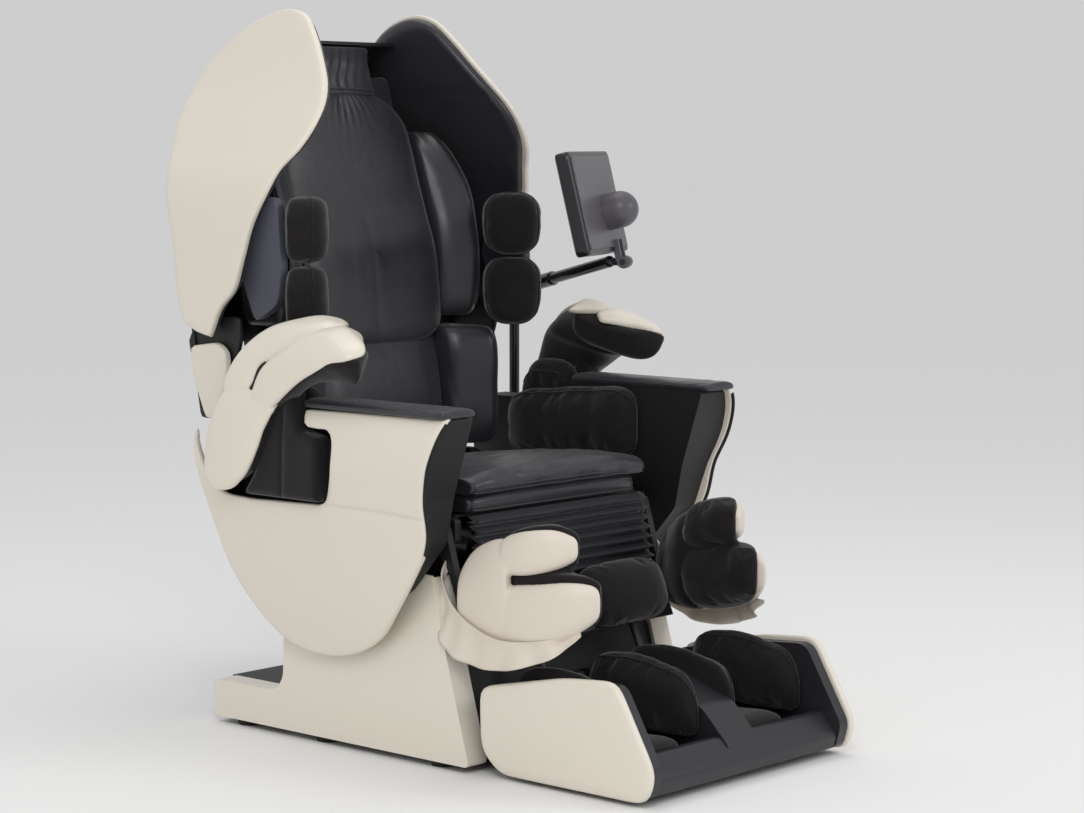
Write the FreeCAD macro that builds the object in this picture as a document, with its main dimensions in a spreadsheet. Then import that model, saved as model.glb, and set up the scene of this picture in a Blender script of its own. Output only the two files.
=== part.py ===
import FreeCAD, Part
import Sketcher
import math
import os
import re
from FreeCAD import Placement, Rotation, Vector

# Reclining massage chair on a box pedestal, in millimetres.
# X runs across the chair (the sitter's right is -X), the sitter looks along -Y, +Z is up.
# The origin is on the floor under the middle of the chair's overall length and width.

doc = FreeCAD.newDocument("massage_chair")
sheet = doc.addObject("Spreadsheet::Sheet", "Sizes")

SIZES = {
    # pedestal
    "base_half_width": 290, "base_front_y": -189, "base_rear_y": 458, "base_cover_depth": 46,
    "base_wall": 5, "rear_box_height": 80, "pedestal_rear_y": 272, "pedestal_top_z": 330, "rear_cover_top_z": 318,
    "pedestal_knee_y": -129, "pedestal_knee_z": 224, "pedestal_top_y": -104,
    "rubber_foot_height": 12, "rubber_foot_radius": 22, "rubber_foot_inset": 32,
    "front_foot_y": -100, "middle_foot_y": 185, "rear_foot_y": 395,
    "base_tube": 30, "base_tube_x": 222, "tray_thick": 3, "upright_x": 258, "upright_thick": 14,
    # pivots as (y, z) places, and their pins
    "tilt_y": 132, "tilt_z": 405, "tilt_pin_radius": 12,
    "recline_y": 332, "recline_z": 452, "legrest_y": -96, "legrest_z": 400, "pin_radius": 8,
    "pin_clearance": 0.4,
    # seat cradle
    "rail_x": 236, "rail_thick": 14, "rail_low_z": 380, "seat_front_y": -118, "seat_rear_y": 234,
    "seat_pan_z": 424, "seat_pan_thick": 4, "seat_half_width": 222, "seat_cushion_thick": 50,
    "flap_rear_y": 190, "flap_thick": 28, "flap_front_y": -140, "flap_half_width": 230,
    "cross_tube_radius": 12, "cross_tube_z": 408, "front_tube_y": -20, "rear_tube_y": 200,
    # side panels, side bodies and what sits on them
    "panel_wall": 12, "side_inner_x": 300, "side_floor": 12, "armrest_width": 84,
    "armrest_thick": 15, "armrest_front_y": -222, "armrest_rear_y": 111, "armrest_z": 610,
    "hip_pad_thick": 34, "elbow_pad_thick": 56, "arm_skin": 15, "arm_pad_thick": 58, "arm_step_x": 364.7,
    # backrest
    "back_plate_x": 218, "back_plate_thick": 14, "back_plate_ahead": 8, "back_plate_behind": 26,
    "back_plate_top_z": 1084,
    "hood_wall": 14, "hood_liner_thick": 18, "back_shell_wall": 6, "guide_y": 384.5,
    "guide_foot_z": 600, "guide_lean": 12.5, "guide_length": 594, "guide_radius": 8, "guide_x": 128,
    "back_cushion_half_width": 157.6, "roller_reach": 55.5, "back_pad_half_width": 172,
    "back_pad_thick": 16, "bolster_inner_x": 158, "upper_bolster_x": 178,
    # massage carriage
    "carriage_start": 110, "carriage_height": 120, "guide_block": 30, "roller_radius": 25,
    "roller_width": 34, "roller_x": 72, "roller_spacing": 92, "axle_radius": 6,
    "motor_radius": 16, "motor_length": 96, "arm_plate_thick": 6,
    # actuators
    "actuator_radius": 17, "actuator_rod_radius": 8, "eye_radius": 23, "eye_thick": 12,
    "eye_slack": 12, "horn_pin_radius": 5, "cheek_thick": 5, "cheek_gap": 2,
    "recline_actuator_x": -70, "legrest_actuator_x": 70,
    # legrest
    "legrest_arm_x": 253, "legrest_arm_thick": 14, "calf_plate_half_width": 229, "calf_skin": 22, "calf_pad_thick": 60, "calf_rest_thick": 24,
    # foot unit
    "foot_half_width": 279, "foot_panel_thick": 17, "well_inner_x": 42, "well_outer_x": 240,
    "well_floor_z": 46, "tub_top_z": 76, "sole_roller_radius": 15, "sole_roller_width": 52,
    "slide_tube_radius": 11, "slide_tube_x": 130,
    # tablet arm
    "post_x": 414, "post_y": 357, "post_radius": 10, "post_top_z": 752, "arm_tube_radius": 11,
    "tablet_width": 250, "tablet_height": 190, "tablet_thick": 25,
}

for row, (alias, value) in enumerate(SIZES.items(), start=1):
    sheet.set(f"A{row}", alias)
    sheet.set(f"B{row}", str(value))
    sheet.setAlias(f"B{row}", alias)
doc.recompute()


def mm(alias):
    """The sheet's value of one driving dimension."""
    return float(sheet.get(alias))


def bound(text):
    """An expression on the sheet: size names in the text get their sheet's name."""
    return re.sub(r"[a-z_]{4,}", lambda found: "Sizes." + found.group() if found.group() in SIZES
                  else found.group(), text)


# Outlines: a place turns a 2-D point into space, on a side, front or plan view

def on_side(x):
    return lambda y, z: Vector(x, y, z)


def on_front(y):
    return lambda x, z: Vector(x, y, z)


def on_plan(z):
    return lambda x, y: Vector(x, y, z)


def run(points):
    """A straight edge through two points, or one smooth curve through more."""
    if len(points) == 2:
        return Part.LineSegment(*points).toShape()
    curve = Part.BSplineCurve()
    curve.interpolate(points)
    return curve.toShape()


def smooth_face(runs, place):
    """A face whose edge is made of smooth runs that share their end points."""
    edges = [run([place(*point) for point in points]) for points in runs]
    return Part.Face(Part.Wire(Part.__sortEdges__(edges)))


def shifted(points, distance):
    """The points of an open curve moved square to it, to the left of its direction."""
    moved = []
    for index, (u, v) in enumerate(points):
        before = points[max(index - 1, 0)]
        after = points[min(index + 1, len(points) - 1)]
        along_u, along_v = after[0] - before[0], after[1] - before[1]
        size = math.hypot(along_u, along_v)
        moved.append((u - along_v / size * distance, v + along_u / size * distance))
    return moved


def band(points, thick):
    """The runs round a strip of even thickness to the left of an open curve."""
    inner = shifted(points, thick)
    return [points, [points[-1], inner[-1]], inner[::-1], [inner[0], points[0]]]


def inset(points, distance):
    """A closed polygon with each side moved inwards, for a polygon that turns to the left."""
    moved = []
    count = len(points)
    for index in range(count):
        (ax, ay), (bx, by), (cx, cy) = points[index - 1], points[index], points[(index + 1) % count]
        first, second = math.hypot(bx - ax, by - ay), math.hypot(cx - bx, cy - by)
        nx1, ny1 = -(by - ay) / first, (bx - ax) / first
        nx2, ny2 = -(cy - by) / second, (cx - bx) / second
        scale = distance / (1 + nx1 * nx2 + ny1 * ny2)
        moved.append((bx + (nx1 + nx2) * scale, by + (ny1 + ny2) * scale))
    return moved


def rounded_face(points, radii, place):
    """A polygon with each corner rounded by a tangent arc."""
    count = len(points)
    radii = radii if isinstance(radii, (list, tuple)) else [radii] * count
    stops, mids = [], []
    for index in range(count):
        ax, ay = points[index - 1]
        bx, by = points[index]
        cx, cy = points[(index + 1) % count]
        back = Vector(ax - bx, ay - by, 0)
        ahead = Vector(cx - bx, cy - by, 0)
        half = back.getAngle(ahead) / 2
        back.normalize()
        ahead.normalize()
        cutback = radii[index] / math.tan(half)
        corner = Vector(bx, by, 0)
        middle = (back + ahead)
        middle.normalize()
        stops.append((corner + back * cutback, corner + ahead * cutback))
        mids.append(corner + middle * (radii[index] / math.sin(half) - radii[index]))
    edges = []
    for index in range(count):
        start, end = stops[index]
        if radii[index] > 0:
            edges.append(Part.Arc(place(start.x, start.y), place(mids[index].x, mids[index].y),
                                  place(end.x, end.y)).toShape())
        following = stops[(index + 1) % count][0]
        if (following - end).Length > 0.01:
            edges.append(Part.LineSegment(place(end.x, end.y), place(following.x, following.y)).toShape())
    return Part.Face(Part.Wire(Part.__sortEdges__(edges)))


def shell(side_face, front_face, x_span, y_span):
    """What a side outline and a strip seen from the front have in common."""
    slab = side_face.extrude(Vector(x_span, 0, 0))
    strip = front_face.extrude(Vector(0, y_span, 0))
    return slab.common(strip)


# Padded forms: a loft through D sections, flat where they rest and crowned on the other side

def pad_section(centre, across, out, width, rise, shoulder=0.55, swell=0.06):
    left, right = centre - across * (width / 2), centre + across * (width / 2)
    left_top, right_top = left + out * (rise * shoulder), right + out * (rise * shoulder)
    bulge = across * (width * swell)
    edges = [
        Part.LineSegment(right, left).toShape(),
        Part.Arc(left, (left + left_top) * 0.5 - bulge, left_top).toShape(),
        Part.Arc(left_top, centre + out * rise, right_top).toShape(),
        Part.Arc(right_top, (right + right_top) * 0.5 + bulge, right).toShape(),
    ]
    return Part.Wire(edges)


def padded(stations):
    """One pad through its stations, each (centre, across, out, width, rise)."""
    wires = [pad_section(*station) for station in stations]
    return Part.makeLoft(wires, True, False)


PAD_STATIONS = (-1.0, -0.86, -0.45, 0.0, 0.45, 0.86, 1.0)


# Document objects

def piece(label, shape, placement=None):
    feature = doc.addObject("Part::Feature", label)
    feature.Shape = shape
    if placement:
        feature.Placement = placement
    feature.Label = label
    return feature


def primitive(kind, name, sizes, at, turn=None):
    """A Part primitive whose sizes and place are bound to the sheet."""
    feature = doc.addObject("Part::" + kind, name)
    if turn:
        feature.Placement = Placement(Vector(0, 0, 0), Rotation(*turn))
    for size, expression in sizes.items():
        feature.setExpression(size, bound(str(expression)))
    for axis, expression in zip("xyz", at):
        feature.setExpression(f"Placement.Base.{axis}", bound(str(expression)))
    return feature


ALONG_X = (Vector(0, 1, 0), 90)
ALONG_Y = (Vector(1, 0, 0), -90)


def box(name, sizes, at):
    return primitive("Box", name, dict(zip(("Length", "Width", "Height"), sizes)), at)


def rod(name, radius, length, at, turn=ALONG_X):
    return primitive("Cylinder", name, {"Radius": radius, "Height": length}, at, turn)


def boolean(kind, label, members):
    feature = doc.addObject("Part::" + kind, label)
    if kind in ("MultiFuse", "MultiCommon"):
        feature.Shapes = members
    else:
        feature.Base, feature.Tool = members
    feature.Label = label
    return feature


def join(label, members):
    return boolean("MultiFuse", label, members)


def cut(label, base, tool):
    return boolean("Cut", label, [base, tool])


def group(label, members):
    compound = doc.addObject("Part::Compound", label)
    compound.Links = members
    compound.Label = label
    return compound


def mirrored(label, source):
    """The same piece on the other side of the chair's middle plane."""
    mirror = doc.addObject("Part::Mirroring", label)
    mirror.Source = source
    mirror.Base = Vector(0, 0, 0)
    mirror.Normal = Vector(1, 0, 0)
    mirror.Label = label
    return mirror


def both_sides(label, source):
    """A left and a right piece in one node."""
    return group(label, [source, mirrored(label + "_left_half", source)])


TERM = re.compile(r"([+-]?)\s*([a-z_]+|[\d.]+)(?:\s*([*/])\s*([\d.]+))?")


def measure(text):
    """The value of a sum of size names and numbers, such as 'seat_front_y + 12'."""
    total = 0.0
    for sign, word, operator, factor in TERM.findall(str(text)):
        value = mm(word) if word in SIZES else float(word)
        if operator:
            value = value * float(factor) if operator == "*" else value / float(factor)
        total += -value if sign == "-" else value
    return total


def plate(label, outline, thick, x_from, corner=0):
    """A body padded along X from a side outline whose corners are bound to the sheet."""
    body = doc.addObject("PartDesign::Body", label)
    sketch = body.newObject("Sketcher::SketchObject", label + "_outline")
    plane = next(origin for origin in body.Origin.OriginFeatures if origin.Role == "YZ_Plane")
    sketch.AttachmentSupport = [(plane, "")]
    sketch.MapMode = "FlatFace"
    values = [Vector(measure(y), measure(z), 0) for y, z in outline]
    count = len(values)
    for index in range(count):
        sketch.addGeometry(Part.LineSegment(values[index], values[(index + 1) % count]), False)
    for index in range(count):
        sketch.addConstraint(Sketcher.Constraint("Coincident", index, 2, (index + 1) % count, 1))
    for index, (y, z) in enumerate(outline):
        for kind, text, value in (("DistanceX", y, values[index].x), ("DistanceY", z, values[index].y)):
            number = sketch.addConstraint(Sketcher.Constraint(kind, -1, 1, index, 1, value))
            sketch.setExpression(f"Constraints[{number}]", bound(str(text)))
    pad = body.newObject("PartDesign::Pad", label + "_pad")
    pad.Profile = sketch
    pad.setExpression("Length", bound(str(thick)))
    doc.recompute()
    if corner:
        edges = [f"Edge{index}" for index, edge in enumerate(pad.Shape.Edges, start=1)
                 if abs(edge.tangentAt(edge.FirstParameter).x) > 0.99]
        fillet = body.newObject("PartDesign::Fillet", label + "_corners")
        fillet.Base = (pad, edges)
        fillet.Radius = corner
    body.setExpression("Placement.Base.x", bound(str(x_from)))
    body.Label = label
    return body


# Pedestal

FLOOR = "rubber_foot_height"


def base_frame():
    """The welded floor frame, its tray and the two uprights that carry the seat cradle."""
    parts = []
    for side in ("-base_tube_x", "base_tube_x"):
        parts.append(box("base_long_tube", ("base_tube", "base_rear_y - base_wall - base_front_y - 23",
                                            "base_tube"),
                         (f"{side} - base_tube / 2", "base_front_y + 23", FLOOR)))
    for y in ("front_foot_y", "middle_foot_y", "rear_foot_y"):
        parts.append(box("base_cross_tube", ("base_half_width * 2 - base_wall * 2", "base_tube", "base_tube"),
                         ("base_wall - base_half_width", f"{y} - base_tube / 2", FLOOR)))
    parts.append(box("base_tray", ("base_tube_x * 2", "rear_foot_y - front_foot_y", "tray_thick"),
                     ("-base_tube_x", "front_foot_y", f"{FLOOR} + base_tube")))
    outline = [("tilt_y - 60", FLOOR), ("middle_foot_y + 40", FLOOR), ("tilt_y + 30", "tilt_z + 28"),
               ("tilt_y - 30", "tilt_z + 28")]
    for x in ("upright_x", "-upright_x - upright_thick"):
        parts.append(plate("base_upright", outline, "upright_thick", x, corner=10))
    bracket = [("tilt_y - 186", "rubber_foot_height + base_tube"), ("tilt_y - 138", "rubber_foot_height + base_tube"),
               ("tilt_y - 146", "rubber_foot_height + 74"), ("tilt_y - 178", "rubber_foot_height + 74")]
    for x in ("-eye_thick / 2 - cheek_gap - cheek_thick", "eye_thick / 2 + cheek_gap"):
        parts.append(plate("actuator_foot", bracket, "cheek_thick", x))
    parts.append(rod("actuator_foot_pin", "pin_radius - 2", "eye_thick + cheek_gap * 2 + cheek_thick * 2",
                     ("-eye_thick / 2 - cheek_gap - cheek_thick", "tilt_y - 162", "rubber_foot_height + 62")))
    solid = join("base_weldment", parts)
    bore = rod("tilt_bore", "tilt_pin_radius", "base_half_width * 2", ("-base_half_width", "tilt_y", "tilt_z"))
    return cut("base_frame", solid, bore)


def side_cover():
    """One cream side cover of the pedestal, with returned front and rear edges."""
    front, rear = mm("base_front_y"), mm("base_rear_y")
    foot, top = mm("rubber_foot_height"), mm("pedestal_top_z")
    wall = mm("base_wall")
    outline = [(front, foot), (rear, foot), (rear, mm("rear_box_height")),
               (mm("pedestal_rear_y"), mm("rear_box_height")), (mm("pedestal_rear_y") - 10, top),
               (mm("pedestal_top_y"), top), (mm("pedestal_knee_y"), mm("pedestal_knee_z"))]
    radii = [8, 12, 12, 40, 8, 6, 0]
    outer_x = -mm("base_half_width")
    skin = rounded_face(outline, radii, on_side(outer_x)).extrude(Vector(mm("base_cover_depth"), 0, 0))
    hollow = inset(outline, wall)
    hollow[0], hollow[1] = (hollow[0][0], 0), (hollow[1][0], 0)
    hollow[4], hollow[5] = (hollow[4][0], top + 20), (hollow[5][0], top + 20)
    pocket = rounded_face(hollow, [0, 0, 8, 44, 0, 0, 0], on_side(outer_x + wall))
    return piece("base_cover_right", skin.cut(pocket.extrude(Vector(mm("base_cover_depth"), 0, 0))))


def pedestal():
    frame = base_frame()
    right = side_cover()
    left = mirrored("base_cover_left", right)
    inner = "base_cover_depth - base_half_width"
    across = "base_half_width * 2 - base_cover_depth * 2"
    knee = [("base_front_y + 10", FLOOR), ("base_front_y + 14", FLOOR),
            ("pedestal_knee_y + 14", "pedestal_knee_z"), ("pedestal_top_y + 14", "pedestal_top_z"),
            ("pedestal_top_y + 10", "pedestal_top_z"), ("pedestal_knee_y + 10", "pedestal_knee_z")]
    front = plate("base_front_cover", knee, across, inner)
    outline = [("base_rear_y", FLOOR), ("base_rear_y", "rear_box_height"),
               ("pedestal_rear_y", "rear_box_height"), ("pedestal_rear_y - 10", "rear_cover_top_z"),
               ("pedestal_rear_y - 14", "rear_cover_top_z"), ("pedestal_rear_y - 4", "rear_box_height - 4"),
               ("base_rear_y - base_wall", "rear_box_height - 4"), ("base_rear_y - base_wall", FLOOR)]
    rear_skin = plate("base_rear_skin", outline, across, inner)
    inlet_hole = box("inlet_hole", ("80", "20", "34"), ("-204", "base_rear_y - 14", "28"))
    rear = cut("base_rear_cover", rear_skin, inlet_hole)
    inlet_body = box("inlet_body", ("80", "30", "34"), ("-204", "base_rear_y - 28", "28"))
    socket = box("inlet_socket", ("30", "20", "22"), ("-164", "base_rear_y - 16", "34"))
    rocker_hole = box("rocker_hole", ("26", "14", "24"), ("-197", "base_rear_y - 12", "33"))
    rocker_bore = rod("rocker_bore", "1.6", "34", ("-201", "base_rear_y - 7", "45"))
    inlet_cuts = join("inlet_cuts", [socket, rocker_hole, rocker_bore])
    inlet_shell = cut("inlet_shell", inlet_body, inlet_cuts)
    blades = [box("inlet_blade", ("2", "12", "6"), (x, "base_rear_y - 16", z))
              for x, z in (("-157", "40"), ("-143", "40"), ("-150", "47"))]
    inlet = join("power_inlet", [inlet_shell] + blades)
    rocker_outline = [("base_rear_y - 9", "35"), ("base_rear_y + 2", "36"), ("base_rear_y", "45"),
                      ("base_rear_y - 1", "54"), ("base_rear_y - 9", "55")]
    rocker = join("power_rocker", [plate("rocker_cap", rocker_outline, "20", "-194"),
                                   rod("rocker_pin", "1.5", "32", ("-200", "base_rear_y - 7", "45"))])
    foot_solids = []
    for side in ("base_half_width - rubber_foot_inset", "rubber_foot_inset - base_half_width"):
        for y in ("front_foot_y", "middle_foot_y", "rear_foot_y"):
            foot_solids.append(rod("rubber_foot", "rubber_foot_radius", FLOOR, (side, y, "0"), None))
    feet = group("rubber_feet", foot_solids)
    pins = []
    for start, head in (("upright_x - 24", "upright_x + upright_thick"),
                        ("-upright_x - upright_thick - 0", "-upright_x - upright_thick - 6")):
        pins.append(join("tilt_pin", [
            rod("tilt_pin_shaft", "tilt_pin_radius", "upright_thick + 24", (start, "tilt_y", "tilt_z")),
            rod("tilt_pin_head", "tilt_pin_radius + 5", "6", (head, "tilt_y", "tilt_z"))]))
    tilt_pins = group("tilt_pins", pins)
    return [frame, right, left, front, rear, inlet, rocker, feet, tilt_pins]


def pneumatics():
    """The air pump with its two ports and the valve block, on the tray."""
    deck = "rubber_foot_height + base_tube + tray_thick"
    case = box("pump_case", ("150", "110", "84"), ("-212", "110", deck))
    caps = [rod("pump_cap", "30", "12", (x, "165", "rubber_foot_height + base_tube + tray_thick + 84"), None)
            for x in ("-174", "-100")]
    pump = join("air_pump_case", [case] + caps)
    block = box("valve_case", ("180", "44", "40"), ("-212", "30", deck))
    ports = [rod("valve_port", "4", "14", (str(-200 + 22 * index), "52",
                                         "rubber_foot_height + base_tube + tray_thick + 40"), None)
             for index in range(8)]
    valves = join("valve_block", [block] + ports)
    pump_node = group("air_pump_and_valves", [pump, valves])
    control_case = box("control_case", ("170", "130", "52"), ("44", "96", deck))
    lid = box("control_lid", ("178", "138", "6"), ("40", "92", "rubber_foot_height + base_tube + tray_thick + 52"))
    return [pump_node, join("control_box", [control_case, lid])]


def actuator(name, x, foot, tip, body_length):
    """A screw actuator between two pins on a side view: its motor tube and its rod, as two pieces."""
    (fy, fz), (ty, tz) = foot, tip
    length = math.hypot(ty - fy, tz - fz)
    lean = math.degrees(math.atan2(ty - fy, tz - fz))
    place = Placement(Vector(x, fy, fz), Rotation(Vector(1, 0, 0), -lean))
    eye, slim = mm("eye_radius"), mm("eye_thick")
    radius, rod_radius = mm("actuator_radius"), mm("actuator_rod_radius")
    pin = mm("pin_radius") - 2
    ring = Part.makeCylinder(pin + 8, slim, Vector(-slim / 2, 0, 0), Vector(1, 0, 0))
    tube = Part.makeCylinder(radius, body_length - 16, Vector(0, 0, 16))
    motor = Part.makeCylinder(radius * 0.9, body_length * 0.45, Vector(0, radius * 1.5, 30))
    neck = Part.makeBox(slim, 16, 20, Vector(-slim / 2, -8, 4))
    web = Part.makeBox(slim, radius * 1.5, body_length * 0.3, Vector(-slim / 2, 0, 34))
    bore = Part.makeCylinder(rod_radius + 0.3, body_length, Vector(0, 0, 30))
    pin_bore = Part.makeCylinder(pin + mm("pin_clearance"), slim + 2, Vector(-slim / 2 - 1, 0, 0), Vector(1, 0, 0))
    body = ring.fuse([neck, tube, motor, web]).cut(bore).cut(pin_bore)
    start = body_length * 0.45
    stem = Part.makeCylinder(rod_radius, length - eye - start + 3, Vector(0, 0, start))
    head = Part.makeCylinder(eye, slim, Vector(-slim / 2, 0, length), Vector(1, 0, 0))
    slack = Part.makeCylinder(mm("horn_pin_radius") + mm("eye_slack"), slim + 2,
                              Vector(-slim / 2 - 1, 0, length), Vector(1, 0, 0))
    shaft = stem.fuse(head).cut(slack)
    return [piece(name + "_motor", body.removeSplitter(), place), piece(name + "_rod", shaft, place)]


# Seat cradle

HORN = {"tilt": (-20, 368), "recline": (357, 392), "legrest": (-70, 369)}


def cheeks(name, x, outline, pin, pin_radius):
    """Two cheeks and the pin between them, as plates on a side view."""
    parts = []
    for edge in (f"{x} - eye_thick / 2 - cheek_gap - cheek_thick", f"{x} + eye_thick / 2 + cheek_gap"):
        parts.append(plate(name + "_cheek", outline, "cheek_thick", edge, corner=4))
    parts.append(rod(name + "_pin", pin_radius, "eye_thick + cheek_gap * 2 + cheek_thick * 2",
                     (f"{x} - eye_thick / 2 - cheek_gap - cheek_thick", *pin)))
    return parts


def cradle_frame():
    """The welded seat cradle: two rails, two cross tubes, the seat pan and the actuator brackets."""
    outline = [("legrest_y - 24", "rail_low_z"), ("tilt_y + 50", "rail_low_z"), ("recline_y + 22", "recline_z - 22"),
               ("recline_y + 22", "recline_z + 22"), ("recline_y - 20", "recline_z + 22"),
               ("tilt_y + 50", "seat_pan_z + 6"), ("legrest_y - 24", "seat_pan_z")]
    parts = [plate("cradle_rail", outline, "rail_thick", x, corner=8)
             for x in ("rail_x", "-rail_x - rail_thick")]
    for y in ("front_tube_y", "rear_tube_y"):
        parts.append(rod("cradle_cross_tube", "cross_tube_radius", "rail_x * 2", ("-rail_x", y, "cross_tube_z")))
    parts.append(box("seat_pan", ("rail_x * 2", "seat_rear_y - legrest_y + 10", "seat_pan_thick"),
                     ("-rail_x", "legrest_y - 10", "seat_pan_z")))
    for y in ("front_tube_y", "rear_tube_y"):
        parts.append(box("pan_rib", ("rail_x * 2", "6", "seat_pan_z - cross_tube_z"),
                         ("-rail_x", f"{y} - 3", "cross_tube_z")))
    for x in ("rail_x + rail_thick", "-side_inner_x + 0.2"):
        for y in ("front_tube_y + 20", "rear_tube_y"):
            parts.append(box("side_bracket", ("side_inner_x - rail_x - rail_thick - 0.2", "40", "cross_tube_radius * 2"),
                             (x, y, "cross_tube_z - cross_tube_radius")))
    hanger = [("front_tube_y - 12", "cross_tube_z - 54"), ("front_tube_y + 12", "cross_tube_z - 54"),
              ("front_tube_y + 12", "cross_tube_z"), ("front_tube_y - 12", "cross_tube_z")]
    parts += cheeks("tilt_hanger", "0", hanger, ("front_tube_y", "cross_tube_z - 40"), "horn_pin_radius")
    parts += cheeks("recline_hanger", "recline_actuator_x", hanger, ("front_tube_y", "cross_tube_z - 42"),
                    "pin_radius - 2")
    rear_hanger = [("rear_tube_y - 12", "cross_tube_z - 54"), ("rear_tube_y + 12", "cross_tube_z - 54"),
                   ("rear_tube_y + 12", "cross_tube_z"), ("rear_tube_y - 12", "cross_tube_z")]
    parts += cheeks("legrest_hanger", "legrest_actuator_x", rear_hanger, ("rear_tube_y", "cross_tube_z - 42"),
                    "pin_radius - 2")
    bores = join("cradle_bores", [
        rod("cradle_tilt_bore", "tilt_pin_radius + pin_clearance", "rail_x * 2 + 40",
            ("-rail_x - 20", "tilt_y", "tilt_z")),
        rod("cradle_recline_bore", "pin_radius", "rail_x * 2 + 40", ("-rail_x - 20", "recline_y", "recline_z")),
        rod("cradle_legrest_bore", "pin_radius", "rail_x * 2 + 40", ("-rail_x - 20", "legrest_y", "legrest_z")),
    ])
    return cut("cradle_frame", join("cradle_weldment", parts), bores)


def cradle_pins():
    """The pins that carry the backrest, inside the rails, and the legrest, outside them."""
    pins = []
    for side in (1, -1):
        inner = "back_plate_x - 2" if side > 0 else "-rail_x - rail_thick"
        pins.append(rod("recline_pin", "pin_radius", "rail_x + rail_thick - back_plate_x + 2",
                        (inner, "recline_y", "recline_z")))
        outer = "rail_x" if side > 0 else "-legrest_arm_x - legrest_arm_thick - 2"
        pins.append(rod("legrest_pin", "pin_radius", "legrest_arm_x + legrest_arm_thick + 2 - rail_x",
                        (outer, "legrest_y", "legrest_z")))
    return group("cradle_pins", pins)


def crown(half, low, shoulder, top):
    """A front view of a cushion: flat below, square sides and a crowned top."""
    rise = top - shoulder
    over = [(half, shoulder), (half - 10, shoulder + rise * 0.5), (half - 44, shoulder + rise * 0.85), (0, top),
            (44 - half, shoulder + rise * 0.85), (10 - half, shoulder + rise * 0.5), (-half, shoulder)]
    return smooth_face([[(-half, low), (half, low)], [(half, low), over[0]], over, [over[-1], (-half, low)]],
                       on_front(-400))


def seat_soft():
    """The seat cushion and the leather flap that lies over it with a rolled front edge."""
    front, rear = mm("seat_front_y") + 6, mm("seat_rear_y")
    low = mm("seat_pan_z") + mm("seat_pan_thick")
    top = low + mm("seat_cushion_thick")
    side = rounded_face([(front, low), (rear, low), (rear, top + 2), (front, top + 2)], [4, 4, 20, 24],
                        on_side(-400))
    seat = shell(side, crown(mm("seat_half_width"), low, top - 18, top), 800, 1000)
    ahead, behind, thick = mm("flap_front_y"), mm("flap_rear_y"), mm("flap_thick")
    cover = rounded_face([(ahead, low + 8), (behind, low + 8), (behind, top + 6), (-60, top + thick + 2),
                          (ahead, top + thick)], [12, 2, 6, 60, 34], on_side(-400))
    flap = shell(cover, crown(mm("flap_half_width"), low + 8, top + 4, top + thick), 800, 1000)
    return [piece("seat_cushion", seat), piece("seat_flap", flap.cut(seat))]


def bellows():
    """The pleated skirt between the seat front and the legrest, one fold a pleat."""
    top_y, top_z = mm("seat_front_y") - 9, mm("seat_pan_z") + 8
    half = mm("flap_half_width") - 4
    pleats = 7
    points = []
    for index in range(pleats):
        down = index / (pleats - 1)
        y = top_y - 23 * down
        z = top_z - 4 - 115.4 * down
        points += [(y - 18, z), (y, z - 9)]
    back = [(y + 7, z) for y, z in points[::-1]]
    face = Part.Face(Part.makePolygon([on_side(-half)(*point) for point in points + back + points[:1]]))
    return piece("seat_bellows", face.extrude(Vector(half * 2, 0, 0)))


# Side panels and arm units, built on the sitter's right and mirrored

PANEL_FRONT = [(mm("base_half_width") + 22, 160), (mm("base_half_width") + 46, 250), (364, 370), (388, 470), (402, 535), (392, 585), (368, 622)]
PANEL_TOP = [(-224, 610), (111, 606)]
PANEL_NOTCH = [(23, 574), (33, 509), (48, 473), (55, 446)]
PANEL_FIN = [(282, 441), (326, 446), (352, 470), (366, 515), (374, 556)]
PANEL_REAR = [(374, 556), (383, 480), (370, 407), (339, 298), (289, 230), (237, 186), (150, 167),
              (82, 173), (-9, 213), (-77, 282), (-151, 370)]
PANEL_BROW = [(-151, 370), (-168, 406), (-177, 476), (-190, 511), (-208, 561), (-224, 610)]


def panel_runs():
    return [PANEL_TOP, [PANEL_TOP[1], (98, 580)], [(98, 580), PANEL_NOTCH[0]], PANEL_NOTCH,
            [PANEL_NOTCH[-1], PANEL_FIN[0]], PANEL_FIN, PANEL_REAR, PANEL_BROW]


def to_right(points):
    """A front view's points on the sitter's right, where X is negative."""
    return [(-x, z) for x, z in points]


def side_panel():
    side = smooth_face(panel_runs(), on_side(0))
    front = smooth_face(band(to_right(PANEL_FRONT), -mm("panel_wall")), on_front(-400))
    return piece("side_panel_right", shell(side, front, -500, 1000))


def side_body():
    """The black side body behind the panel: a tray whose rim meets the panel, stepped in behind the arm unit."""
    inner_x, floor = mm("side_inner_x"), mm("side_floor")
    outline = [(-150, 392), (-62, 292), (330, 300), (356, 420), (366, 545), (340, 572), (134, 572),
               (118, 610), (-212, 610), (-166, 470)]
    radii = [40, 50, 60, 60, 20, 14, 8, 8, 6, 60]
    slab = rounded_face(outline, radii, on_side(-inner_x)).extrude(Vector(-150, 0, 0))
    skin = shifted(to_right(PANEL_FRONT), -mm("panel_wall"))
    region = smooth_face([skin, [skin[-1], (-inner_x, 640)], [(-inner_x, 640), (-inner_x, 140)],
                          [(-inner_x, 140), skin[0]]], on_front(-400)).extrude(Vector(0, 1000, 0))
    tray = slab.common(region)
    hollow = rounded_face(inset(outline, floor), 6, on_side(-inner_x - floor)).extrude(Vector(-150, 0, 0))
    step = Part.makeBox(80, 360, 220, Vector(-mm("arm_step_x") - 80, 56, 446))
    return piece("side_body_right", tray.cut(hollow.fuse(step)))


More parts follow.
